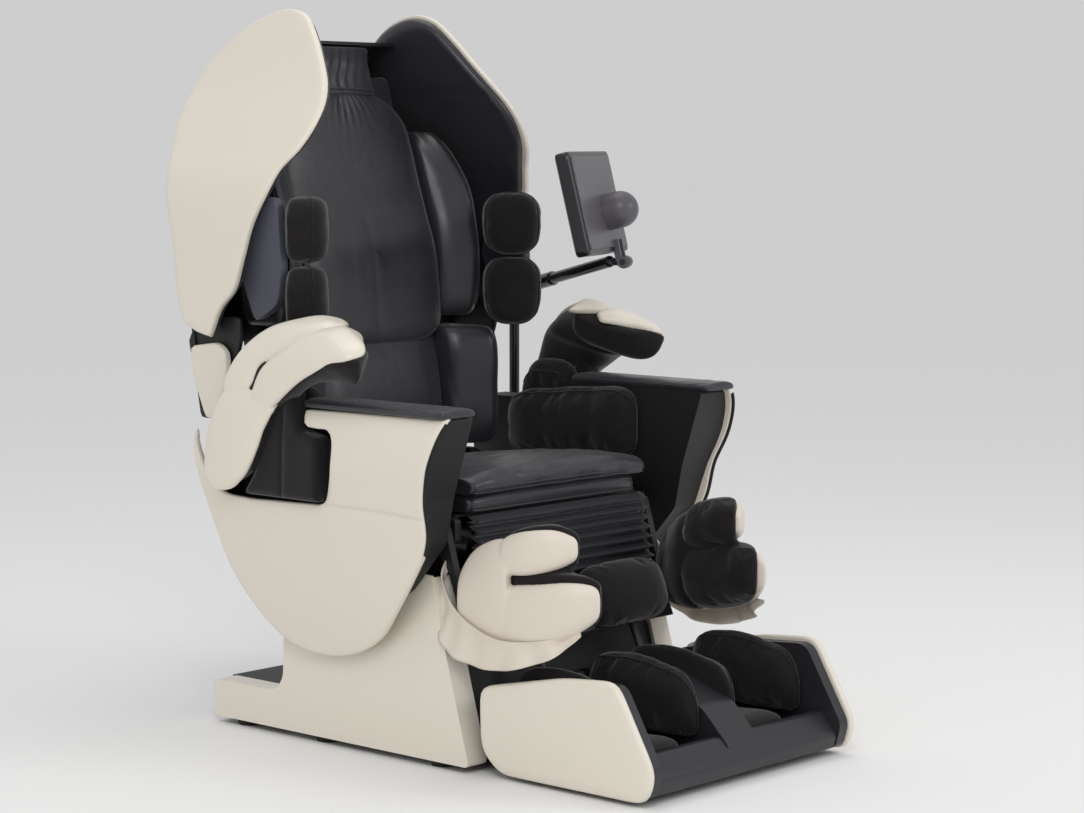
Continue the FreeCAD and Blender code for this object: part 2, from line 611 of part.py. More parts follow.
def armrest_pad():
    wide, thick = mm("armrest_width"), mm("armrest_thick")
    front, rear = mm("armrest_front_y"), mm("armrest_rear_y")
    middle_x = -(mm("side_inner_x") + wide / 2 + 2)
    stations = []
    for share in PAD_STATIONS:
        y = (front + rear) / 2 + share * (rear - front) / 2
        rise = thick * (0.72 + 0.28 * (1 - share ** 4))
        stations.append((Vector(middle_x, y, mm("armrest_z") + 0.4), Vector(1, 0, 0), Vector(0, 0, 1),
                         wide * (1 - 0.04 * share ** 4), rise, 0.7, 0.02))
    return piece("armrest_pad", padded(stations))


# An arm unit's outer surface: rows of a rear and a front edge point, from its foot to the finger tips
ARM_FOOT = [((-420, 316, 452), (-420, 254, 458)), ((-426, 325, 482), (-426, 219, 488)),
            ((-428, 323, 523), (-428, 188, 534)), ((-428, 312, 566), (-428, 167, 576)),
            ((-427, 295, 604), (-425, 148, 604)), ((-422, 274, 646), (-416, 132, 626))]
REAR_FINGER = [((-425, 284, 622), (-424, 200, 640)), ((-421, 269, 662), (-416, 188, 676)),
               ((-412, 246, 700), (-413, 158, 695)), ((-400, 228, 722), (-410, 132, 712)),
               ((-386, 192, 746), (-402, 104, 730)), ((-366, 146, 760), (-390, 78, 742)),
               ((-338, 112, 766), (-362, 54, 748)), ((-310, 102, 760), (-334, 60, 746)),
               ((-282, 102, 748), (-300, 86, 742))]
FRONT_FINGER = [((-424, 212, 622), (-426, 152, 602)), ((-417, 184, 676), (-428, 118, 632)),
                ((-412, 140, 705), (-428, 77, 660)), ((-405, 104, 724), (-428, 45, 676)),
                ((-394, 74, 739), (-425, 10, 692)), ((-376, 54, 748), (-412, -32, 706)),
                ((-356, 46, 750), (-382, -40, 714)), ((-338, 50, 747), (-346, -4, 722)),
                ((-322, 58, 742), (-306, 36, 730))]
ARM_PAD = [((-420, 310, 458), (-420, 260, 462)), ((-426, 320, 484), (-426, 223, 490)),
           ((-428, 318, 523), (-428, 193, 534)), ((-428, 307, 566), (-428, 172, 576)),
           ((-427, 290, 604), (-428, 156, 604)), ((-421, 268, 650), (-429, 112, 634)),
           ((-410, 240, 705), (-430, 70, 662)), ((-396, 212, 732), (-430, 28, 682)),
           ((-376, 165, 750), (-424, -18, 698)), ((-350, 125, 756), (-400, -44, 706)),
           ((-322, 108, 756), (-355, -26, 712)), ((-292, 100, 748), (-318, 12, 716))]
ARM_PAD_SHARES = (0.66, 0.7, 0.72, 0.74, 0.75, 0.8, 0.9, 1.0, 1.0, 1.0, 0.95, 0.8)


def limb(rows):
    """The middle, edge direction, outward direction and width at each row of edge points."""
    frames = []
    for index, (rear, front) in enumerate(rows):
        rear, front = Vector(*rear), Vector(*front)
        before, after = rows[max(index - 1, 0)], rows[min(index + 1, len(rows) - 1)]
        along = Vector(*after[0]) + Vector(*after[1]) - Vector(*before[0]) - Vector(*before[1])
        across = rear - front
        wide = across.Length
        across.normalize()
        out = along.cross(across)
        out.normalize()
        frames.append(((rear + front) * 0.5, across, out, wide))
    return frames


def arm_hood():
    """The cream skin of one arm unit: an upright base that parts into two fingers over the armrest."""
    depth, rise = mm("arm_skin") - 4, mm("arm_skin")
    lobes = [padded([(middle - out * depth, across, out, wide, rise, 0.6, 0.03)
                     for middle, across, out, wide in limb(rows)])
             for rows in (ARM_FOOT, REAR_FINGER, FRONT_FINGER)]
    return piece("arm_hood_right", lobes[0].fuse(lobes[1:]).removeSplitter())


def arm_pad(skin):
    """The black air pad under the skin, and the gusset that fills the notch in front of its base."""
    depth = mm("arm_skin") - 3.6
    wires = []
    for (middle, across, out, wide), share in zip(limb(ARM_PAD), ARM_PAD_SHARES):
        deep = mm("arm_pad_thick") * share
        centre = middle - out * depth
        left, right = centre - across * (wide / 2), centre + across * (wide / 2)
        low_left, low_right = left - out * (deep * 0.65), right - out * (deep * 0.65)
        wires.append(Part.Wire([Part.Arc(left, centre + out * 5, right).toShape(),
                                Part.LineSegment(right, low_right).toShape(),
                                Part.Arc(low_right, centre - out * deep, low_left).toShape(),
                                Part.LineSegment(low_left, left).toShape()]))
    outline = [(60, 450), (252, 450), (222, 488), (198, 534), (180, 574), (172, 600), (150, 640), (122, 640),
               (118, 612), (106, 570), (60, 560)]
    gusset = rounded_face(outline, [6, 10, 0, 0, 0, 0, 12, 10, 6, 10, 6], on_side(-365)).extrude(Vector(-38, 0, 0))
    pad = Part.makeLoft(wires, True, False).fuse(gusset).cut(skin.Shape).removeSplitter()
    return piece("arm_pad", max(pad.Solids, key=lambda solid: solid.Volume))


def side_pads():
    """The fabric hip pads on the side bodies and the elbow pads behind the armrests."""
    inner_x = mm("side_inner_x")
    hip = padded([(Vector(-inner_x + 0.4, y, z), Vector(0, 0, 1), Vector(1, 0, 0), wide,
                   mm("hip_pad_thick") * full, 0.6, 0.03)
                  for y, z, wide, full in ((-62, 540, 98, 0.45), (-48, 541, 114, 0.8), (40, 539, 124, 1.0),
                                           (140, 531, 122, 1.0), (236, 523, 110, 0.8), (258, 521, 92, 0.4))])
    elbow = padded([(Vector(-333, y, 572.3), Vector(1, 0, 0), Vector(0, 0, 1), wide,
                     mm("elbow_pad_thick") * full, 0.6, 0.04)
                    for y, wide, full in ((144, 44, 0.5), (156, 50, 0.85), (194, 52, 1.0), (232, 50, 0.85),
                                          (244, 44, 0.5))])
    right = [piece("hip_pad", hip), piece("elbow_pad", elbow)]
    return group("side_pads", right + [mirrored("hip_pad_left", right[0]), mirrored("elbow_pad_left", right[1])])


# Backrest

def guide(z):
    """Y of the guide rails' axis at a height: they lean back by guide_lean degrees."""
    return mm("guide_y") + (z - mm("guide_foot_z")) * math.tan(math.radians(mm("guide_lean")))


def guide_end_z():
    """Height of the guide rails' upper ends."""
    return mm("guide_foot_z") + mm("guide_length") * math.cos(math.radians(mm("guide_lean")))


HOOD_BROW = [(372, 716), (348, 768), (320, 796), (301, 851), (279, 916), (252, 968), (235, 1012),
             (212, 1046), (200, 1090), (204, 1128), (220, 1160), (253, 1205), (292, 1254), (329, 1289),
             (368, 1300)]
HOOD_REAR = [(368, 1300), (438, 1288), (499, 1256), (549, 1211), (575, 1150), (566, 1091), (536, 1028),
             (510, 956), (488, 885), (469, 796), (446, 740)]
HOOD_FRONT = [(370, 700), (368, 724), (364, 768), (360, 801), (356, 851), (352, 916), (345, 968),
              (327, 1012), (304, 1046), (275, 1090), (251, 1125), (228, 1160), (206, 1205), (187, 1254),
              (174, 1289), (168, 1312)]


def hood():
    """One cream head-and-shoulder hood of the backrest."""
    side = smooth_face([HOOD_BROW, HOOD_REAR, [HOOD_REAR[-1], HOOD_BROW[0]]], on_side(-100))
    front = smooth_face(band(to_right(HOOD_FRONT), -mm("hood_wall")), on_front(100))
    return piece("hood_right", shell(side, front, -400, 600))


def hood_liner():
    """The black padded lining inside a hood, set back from its edge."""
    brow = shifted(HOOD_BROW[1:], -8)
    rear = shifted(HOOD_REAR, -8)[1:]
    side = smooth_face([brow, [brow[-1], rear[0]], rear, [rear[-1], brow[0]]], on_side(-100))
    skin = shifted(to_right(HOOD_FRONT), -mm("hood_wall"))
    front = smooth_face(band(skin, -mm("hood_liner_thick")), on_front(100))
    return piece("hood_liner", shell(side, front, -400, 600))


def back_shell():
    """The rear cover between the two hood linings."""
    rear = [(440, 668), (458, 740), (468, 800), (484, 885), (503, 956), (529, 1028), (556, 1091),
            (560, 1150), (540, 1206), (490, 1240), (430, 1248)]
    side = smooth_face(band(rear, mm("back_shell_wall")), on_side(-400))
    depth = mm("hood_wall") + mm("hood_liner_thick")
    skin = shifted(to_right(HOOD_FRONT), -depth)
    other = [(-x, z) for x, z in skin[::-1]]
    region = smooth_face([skin, [skin[-1], other[0]], other, [other[-1], skin[0]]], on_front(100))
    cover = side.extrude(Vector(800, 0, 0)).common(region.extrude(Vector(0, 600, 0)))
    line = mm("back_plate_behind") + 0.2
    inside = Part.Face(Part.makePolygon([on_side(-400)(y, z) for y, z in (
        (300, 600), (guide(600) + line, 600), (guide(1090) + line, 1090), (300, 1090), (300, 600))]))
    bosses = [Part.makeCylinder(10, depth_y, Vector(side * (mm("back_plate_x") + 7), guide(z) + 20, z), Vector(0, 1, 0))
              for side in (-1, 1) for z, depth_y in ((760, 18), (1000, 24))]
    bosses = [boss.cut(inside.extrude(Vector(800, 0, 0))) for boss in bosses]
    return piece("back_shell", cover.fuse(bosses).removeSplitter())


def back_frame():
    """The welded back frame: side plates, torque tube, cross bars, top straps and the actuator horn."""
    ahead, behind = mm("back_plate_ahead"), mm("back_plate_behind")
    end, top = mm("back_plate_top_z"), guide_end_z()
    pivot_y, pivot_z = mm("recline_y"), mm("recline_z")
    outline = [(pivot_y - 14, pivot_z - 18), (pivot_y + 14, pivot_z - 18), (guide(540) + behind, 540),
               (guide(end) + behind, end), (guide(end) - ahead, end),
               (guide(600) - ahead, 600), (pivot_y - 18, pivot_z + 14)]
    thick, plate_x = mm("back_plate_thick"), mm("back_plate_x")
    parts = []
    for x in (plate_x, -plate_x - thick):
        face = rounded_face(outline, [10, 10, 20, 6, 6, 60, 10], on_side(x))
        parts.append(piece("back_side_plate", face.extrude(Vector(thick, 0, 0))))
    parts.append(box("back_low_bar", ("back_plate_x * 2", "24", "18"),
                     ("-back_plate_x", "guide_y - 12", "guide_foot_z - 19.8")))
    middle = end - 18
    parts.append(box("back_middle_bar", ("back_plate_x * 2", "18", "18"),
                     ("-back_plate_x", str(guide(middle) + behind - 0.5), str(middle))))
    bar = top - 20
    strap = [(guide(middle) + behind + 4, middle), (guide(bar + 6) + behind + 4, bar + 6),
             (guide(bar + 6) + behind - 2, bar + 6), (guide(middle) + behind - 2, middle)]
    for side in (-1, 1):
        face = rounded_face(strap, 0, on_side(side * mm("guide_x") - 12))
        parts.append(piece("back_top_strap", face.extrude(Vector(24, 0, 0))))
    parts.append(box("back_top_bar", ("guide_x * 2 + 30", "22", "18"),
                     ("-guide_x - 15", str(guide(bar + 18) + 8.3), str(bar))))
    parts.append(rod("back_torque_tube", "cross_tube_radius", "back_plate_x * 2",
                     ("-back_plate_x", "recline_y + 24", "recline_z + 38")))
    horn_y, horn_z = HORN["recline"]
    horn = [(str(horn_y - 12), str(horn_z - 12)), (str(horn_y + 12), str(horn_z - 12)),
            ("recline_y + 34", "recline_z + 38"), ("recline_y + 14", "recline_z + 38")]
    parts += cheeks("recline_horn", "recline_actuator_x", horn, (str(horn_y), str(horn_z)), "horn_pin_radius")
    bore = rod("back_pivot_bore", "pin_radius + pin_clearance", "back_plate_x * 2 + 60",
               ("-back_plate_x - 30", "recline_y", "recline_z"))
    return cut("back_frame", join("back_weldment", parts), bore)


def guide_rails():
    """The two steel guide rails of the massage carriage."""
    lean = Rotation(Vector(1, 0, 0), -mm("guide_lean"))
    rails = []
    for x, radius in ((-mm("guide_x"), mm("guide_radius")), (mm("guide_x"), mm("guide_radius"))):
        start = Vector(x, mm("guide_y"), mm("guide_foot_z"))
        rails.append(piece("guide_rail", Part.makeCylinder(radius, mm("guide_length")), Placement(start, lean)))
    return group("guide_rails", rails)


def back_soft():
    """The back cushion behind the rollers' path, the loose pad in front and its head strap."""
    reach = mm("roller_reach")
    front = [(286, 492), (300, 620), (334, 752), (350, 856), (393, 988), (420, 1099), (446, 1186)]
    rear = [(guide(z) - reach, z) for z in (1186, 1099, 988, 856, 752, 640)] + [(326, 560), (322, 492)]
    half = mm("back_cushion_half_width")
    side = smooth_face([front, [front[-1], rear[0]], rear, [rear[-1], front[0]]], on_side(-half))
    core = side.extrude(Vector(half * 2, 0, 0))
    wide, thick = mm("back_pad_half_width") * 2, mm("back_pad_thick")
    across = Vector(1, 0, 0)
    pad_line = [(338, 716, 0.55, 0.94), (333, 736, 0.9, 1.0), (336, 790, 1.0, 1.0), (345, 856, 1.0, 1.0),
                (368, 922, 1.0, 1.0), (389, 988, 1.0, 0.99), (403, 1046, 1.0, 0.97), (415, 1099, 0.95, 0.9),
                (421, 1130, 0.8, 0.72), (424, 1150, 0.7, 0.54)]
    stations = []
    for index, (y, z, rise, share) in enumerate(pad_line):
        before, after = pad_line[max(index - 1, 0)], pad_line[min(index + 1, len(pad_line) - 1)]
        out = Vector(0, before[1] - after[1], after[0] - before[0])
        out.normalize()
        stations.append((Vector(0, y - 1, z), across, out, wide * share, thick * rise, 0.6, 0.01))
    pad = piece("back_pad", padded(stations).cut(core))
    strap_line = [(423.5, 1144, 8, 184), (430, 1176, 9, 176), (436, 1206, 9, 168), (432, 1236, 8, 160)]
    strap = padded([(Vector(0, y - 2, z), across, Vector(0, -1, 0.2), width, rise, 0.6, 0.01)
                    for y, z, rise, width in strap_line])
    return [piece("back_cushion", core), pad, piece("pad_strap", strap.cut(pad.Shape).cut(core))]


def bolsters(core):
    """The side bolsters of the backrest, a low one and a tall one on each side."""
    inner, high_inner, gap = mm("bolster_inner_x"), mm("upper_bolster_x"), mm("back_plate_ahead") + 0.4
    solids = []
    low = [(487, 252, 314, 256), (520, 244, 330, 256), (600, 243, guide(600) - gap - 5, 256),
           (680, 244, guide(680) - gap, 256), (712, 252, guide(712) - gap, 256)]
    high = [(730, 300, guide(730) - gap, 256), (760, 294, guide(760) - gap, 256), (884, 293, guide(884) - gap, 256),
            (1000, 330, guide(1000) - gap, 256), (1046, 354, guide(1046) - gap, 242),
            (1080, 372, guide(1080) - gap, 222)]
    for name, rows, near_x in (("low_bolster", low, inner), ("high_bolster", high, high_inner)):
        wires = []
        for z, front, rear, outer in rows:
            place = on_plan(z)
            corner = place(-near_x, front + (outer - near_x) * 0.55)
            wires.append(Part.Wire([
                Part.LineSegment(place(-near_x, rear), place(-outer, rear)).toShape(),
                Part.LineSegment(place(-outer, rear), place(-outer, front + 22)).toShape(),
                Part.Arc(place(-outer, front + 22), place(-outer + 16, front + 2), corner).toShape(),
                Part.LineSegment(corner, place(-near_x, rear)).toShape()]))
        solids.append(piece(name, Part.makeLoft(wires, True, False).cut(core.Shape)))
    return group("back_bolsters", solids + [mirrored(solid.Name + "_left", solid) for solid in solids])


def liner_room():
    """The space inside the hood linings, seen from the front, as one block."""
    skin = shifted(to_right(HOOD_FRONT), -mm("hood_wall") - mm("hood_liner_thick") - 0.3)
    low, high = skin[0], skin[-1]
    return smooth_face([skin, [high, (0, high[1])], [(0, high[1]), (0, low[1])], [(0, low[1]), low]],
                       on_front(-400)).extrude(Vector(0, 1200, 0))


def shoulder_group(bolster):
    """The slate wings inside the hood linings, and two stacked air pads on each beside the shoulder."""
    doc.recompute()
    room = liner_room()
    outline = [(238, 776), (300, 742), (346, 852), (292, 964), (240, 964), (230, 838)]
    wing = rounded_face(outline, [18, 20, 40, 16, 8, 30], on_side(-300)).extrude(Vector(-50, 0, 0)).common(room)
    across, out = Vector(0.70, 0.714, 0), Vector(0.714, -0.70, 0)
    lobes = []
    for low, high in ((722, 840), (850, 962)):
        middle, tall = (low + high) / 2, high - low
        stations = []
        for share in PAD_STATIONS:
            drawn = 1 - 0.4 * share ** 4
            stations.append((Vector(-290, 244, middle + share * tall / 2), across, out, 118 * drawn,
                             62 * (1 - 0.4 * share ** 4), 0.5, 0.04))
        pad = padded(stations).common(room).cut(wing).cut(bolster.Shape)
        lobes.append(piece("shoulder_pad", pad))
    pads = group("shoulder_pads", lobes + [mirrored(lobe.Name + "_left", lobe) for lobe in lobes])
    return [pads, both_sides("wing_panels", piece("wing_panel", wing))]


def low_side_covers():
    """The cream covers below the hoods, behind the arm units, each on a tab to the back frame."""
    outline = [(372, 572), (402, 566), (434, 636), (444, 696), (372, 706), (347, 690), (345, 640)]
    face = rounded_face(outline, [6, 14, 40, 6, 24, 14, 30], on_side(-352))
    tab = [(404, 640), (428, 640), (436, 690), (412, 690)]
    arm = rounded_face(tab, 4, on_side(-337)).extrude(Vector(337 - mm("back_plate_x") - mm("back_plate_thick") - 0.2,
                                                             0, 0))
    cover = face.extrude(Vector(16, 0, 0))
    return both_sides("low_side_covers", piece("low_side_cover", cover.fuse(arm).removeSplitter()))


# Massage carriage, in its own frame: Z along the guide rails and Y square to them, behind the sitter

def on_carriage(shape, label):
    lean = mm("guide_lean")
    height = mm("guide_foot_z") + mm("carriage_start") * math.cos(math.radians(lean))
    place = Placement(Vector(0, guide(height), height), Rotation(Vector(1, 0, 0), -lean))
    return piece(label, shape, place)


SHAFT_Y = -4
ROLLER_Y = -24


def along_x(radius, length, x, y, z):
    return Part.makeCylinder(radius, length, Vector(x, y, z), Vector(1, 0, 0))


def massage_carriage():
    """The carriage frame on its guides, the kneading motor, the rocking arms and two roller pairs."""
    block, tall = mm("guide_block"), mm("carriage_height")
    guide_x = mm("guide_x")
    bar_x = guide_x - block / 2
    solids = []
    for side in (-1, 1):
        case = Part.makeBox(block, 28, tall, Vector(side * guide_x - block / 2, -14, -tall / 2))
        bore = Part.makeCylinder(mm("guide_radius") + mm("pin_clearance"), tall + 2,
                                 Vector(side * guide_x, 0, -tall / 2 - 1))
        solids.append(case.cut(bore))
        cheek = Part.makeBox(6, 36, tall, Vector(side * 104 - 3, -16, -tall / 2))
        solids.append(cheek.cut(along_x(7 + mm("pin_clearance"), 20, side * 104 - 10, SHAFT_Y, 0)))
    for z in (-tall / 2, tall / 2 - 12):
        solids.append(Part.makeBox(bar_x * 2, 13, 12, Vector(-bar_x, 7, z)))
    frame = solids[0].fuse(solids[1:]).removeSplitter()
    motor_radius, motor_length = mm("motor_radius"), mm("motor_length")
    motor = along_x(motor_radius, motor_length, -motor_length / 2, 8, tall / 2 - 12 - motor_radius)
    cap = along_x(motor_radius * 0.6, 5, motor_length / 2, 8, tall / 2 - 12 - motor_radius)
    spacing, axle = mm("roller_spacing") / 2, mm("axle_radius")
    roller_x, roller_width = mm("roller_x"), mm("roller_width")
    arms = [along_x(7, 214, -107, SHAFT_Y, 0)]
    plate_x = roller_x + roller_width / 2 + 2
    outline = [(SHAFT_Y + 14, -12), (SHAFT_Y + 14, 12), (ROLLER_Y + 10, spacing + 8), (ROLLER_Y - 8, spacing + 8),
               (ROLLER_Y - 8, spacing - 8), (SHAFT_Y - 12, 8), (SHAFT_Y - 12, -8), (ROLLER_Y - 8, 8 - spacing),
               (ROLLER_Y - 8, -spacing - 8), (ROLLER_Y + 10, -spacing - 8)]
    for side in (-1, 1):
        start = plate_x if side > 0 else -plate_x - mm("arm_plate_thick")
        arms.append(rounded_face(outline, [6, 6, 7, 7, 3, 4, 4, 3, 7, 7],
                                 on_side(start)).extrude(Vector(mm("arm_plate_thick"), 0, 0)))
        for z in (-spacing, spacing):
            length = plate_x + 3 - (roller_x - roller_width / 2 - 4)
            from_x = roller_x - roller_width / 2 - 4 if side > 0 else -plate_x - 3
            arms.append(along_x(axle, length, from_x, ROLLER_Y, z))
    rocker = arms[0].fuse(arms[1:]).removeSplitter()
    nodes = [on_carriage(frame, "carriage_frame"), on_carriage(motor.fuse(cap), "knead_motor"),
             on_carriage(rocker, "roller_arms")]
    for name, z in (("upper_rollers", spacing), ("lower_rollers", -spacing)):
        pair = []
        for x in (-roller_x, roller_x):
            drum = along_x(mm("roller_radius"), roller_width, x - roller_width / 2, ROLLER_Y, z)
            rims = [edge for edge in drum.Edges if isinstance(edge.Curve, Part.Circle)]
            drum = drum.makeFillet(9, rims)
            bore = along_x(axle + mm("pin_clearance"), roller_width + 2, x - roller_width / 2 - 1, ROLLER_Y, z)
            pair.append(on_carriage(drum.cut(bore), name + "_drum"))
        nodes.append(group(name, pair))
    return nodes


# Legrest: calf unit on two arms, with the foot unit sliding on two tubes below it

SLIDE_START = (-150, 300)
SLIDE_LEAN = 24


def slide_place(distance, x=0.0):
    """A place down the foot unit's slide line from its start."""
    turn = math.radians(SLIDE_LEAN)
    return Vector(x, SLIDE_START[0] - distance * math.sin(turn), SLIDE_START[1] - distance * math.cos(turn))


def legrest_frame():
    """Two side arms, the slanted calf plate, the slide tubes and the actuator horn."""
    thick, arm_x = mm("legrest_arm_thick"), mm("legrest_arm_x")
    y, z = mm("legrest_y"), mm("legrest_z")
    outline = [(y + 16, z - 14), (y + 16, z + 14), (y - 16, z + 14), (-140, 320), (-156, 288), (-142, 280),
               (-118, 340)]
    solids = []
    for x in (arm_x, -arm_x - thick):
        solids.append(rounded_face(outline, [12, 12, 10, 10, 6, 6, 20], on_side(x)).extrude(Vector(thick, 0, 0)))
    turn = math.radians(SLIDE_LEAN)
    down, ahead = Vector(0, -math.sin(turn), -math.cos(turn)), Vector(0, -math.cos(turn), math.sin(turn))
    tube = mm("slide_tube_radius")
    solids.append(along_x(7, (arm_x + thick) * 2, -arm_x - thick, -150, 296))
    half = mm("calf_plate_half_width")
    start = slide_place(10) + ahead * (tube - 1)
    corners = [start, start + down * 95, start + down * 95 + ahead * 4, start + ahead * 4, start]
    sheet_face = Part.Face(Part.makePolygon([point + Vector(-half, 0, 0) for point in corners]))
    solids.append(sheet_face.extrude(Vector(half * 2, 0, 0)))
    for side in (-1, 1):
        outer = Part.makeCylinder(tube, 104, slide_place(0, side * mm("slide_tube_x")), down)
        solids.append(outer)
    horn_y, horn_z = HORN["legrest"]
    x = mm("legrest_actuator_x")
    gap, cheek = mm("eye_thick") / 2 + mm("cheek_gap"), mm("cheek_thick")
    horn = [(horn_y + 10, horn_z - 11), (horn_y + 10, horn_z + 11), (-84, 380), (-138, 302), (-150, 303),
            (-153, 290), (-139, 288), (-98, 343)]
    for edge in (x - gap - cheek, x + gap):
        solids.append(rounded_face(horn, [8, 8, 6, 4, 2, 2, 4, 8], on_side(edge)).extrude(Vector(cheek, 0, 0)))
    solids.append(along_x(mm("horn_pin_radius"), (gap + cheek) * 2, x - gap - cheek, horn_y, horn_z))
    frame = solids[0].fuse(solids[1:])
    frame = frame.cut(along_x(mm("pin_radius") + mm("pin_clearance"), 600, -300, y, z))
    for side in (-1, 1):
        bore = Part.makeCylinder(tube - 3.5, 120, slide_place(8, side * mm("slide_tube_x")), down)
        frame = frame.cut(bore)
    return piece("legrest_frame", frame.removeSplitter())


def calf_steps(rows, rises, sign):
    """Stations of a calf lobe from rows of (x, y, turn, middle z, width) and the rise at each row."""
    stations = []
    for (x, y, turn, z, width), rise in zip(rows, rises):
        angle = math.radians(turn)
        out = Vector(-math.cos(angle), -math.sin(angle), 0) * sign
        stations.append((Vector(-x, y, z), Vector(0, 0, 1), out, width, rise, 0.6, 0.03))
    return stations


CALF_BASE = [(268, -158, 0, 288, 118), (268, -186, 0, 300, 160), (268, -225, 4, 309, 184), (266, -266, 12, 313, 194)]
CALF_UPPER = [(266, -250, 10, 378, 66), (257, -300, 28, 386, 74), (235, -335, 52, 392, 66), (208, -350, 72, 393, 46)]
CALF_LOWER = [(266, -250, 10, 274, 110), (260, -312, 22, 282, 106), (240, -370, 42, 296, 92), (212, -405, 64, 308, 64)]


def calf_unit():
    """The cream lobed calf covers, and the black pads inside them with the rest between."""
    skin = mm("calf_skin")
    lobes = [padded(calf_steps(rows, [skin] * 4, 1)) for rows in (CALF_BASE, CALF_UPPER, CALF_LOWER)]
    cover = piece("calf_cover_right", lobes[0].fuse(lobes[1:]).removeSplitter())
    depth = mm("calf_pad_thick")
    pads = []
    for rows, shares in ((CALF_BASE, (0.62, 0.62, 0.9, 1.0)), (CALF_UPPER, (1.0, 1.0, 0.85, 0.5)),
                         (CALF_LOWER, (1.0, 1.0, 0.8, 0.5))):
        inner = [(x - 0.5, y, turn, z, width - 6) for x, y, turn, z, width in rows]
        pads.append(padded(calf_steps(inner, [depth * share for share in shares], -1)))
    side_pad = piece("calf_side_pad", pads[0].fuse(pads[1:]).cut(cover.Shape).removeSplitter())
    turn = math.radians(SLIDE_LEAN)
    ahead = Vector(0, -math.cos(turn), math.sin(turn))
    rests = []
    wide, rise = 188, mm("calf_rest_thick")
    for middle in (-113, 113):
        stations = []
        for share in PAD_STATIONS:
            place = slide_place(58 + share * 46, middle) + ahead * (mm("slide_tube_radius") + 3.4)
            stations.append((place, Vector(1, 0, 0), ahead, wide * (1 - 0.05 * share ** 4),
                             rise * (1 - 0.35 * share ** 4), 0.5, 0.02))
        rests.append(piece("calf_rest", padded(stations)))
    return [cover, mirrored("calf_cover_left", cover),
            group("calf_pads", [side_pad, mirrored("calf_side_pad_left", side_pad)] + rests)]


FOOT_OUTLINE = [(-564, 8), (-246, 8), (-203, 44), (-200, 152), (-385, 190), (-498, 199), (-580, 58)]


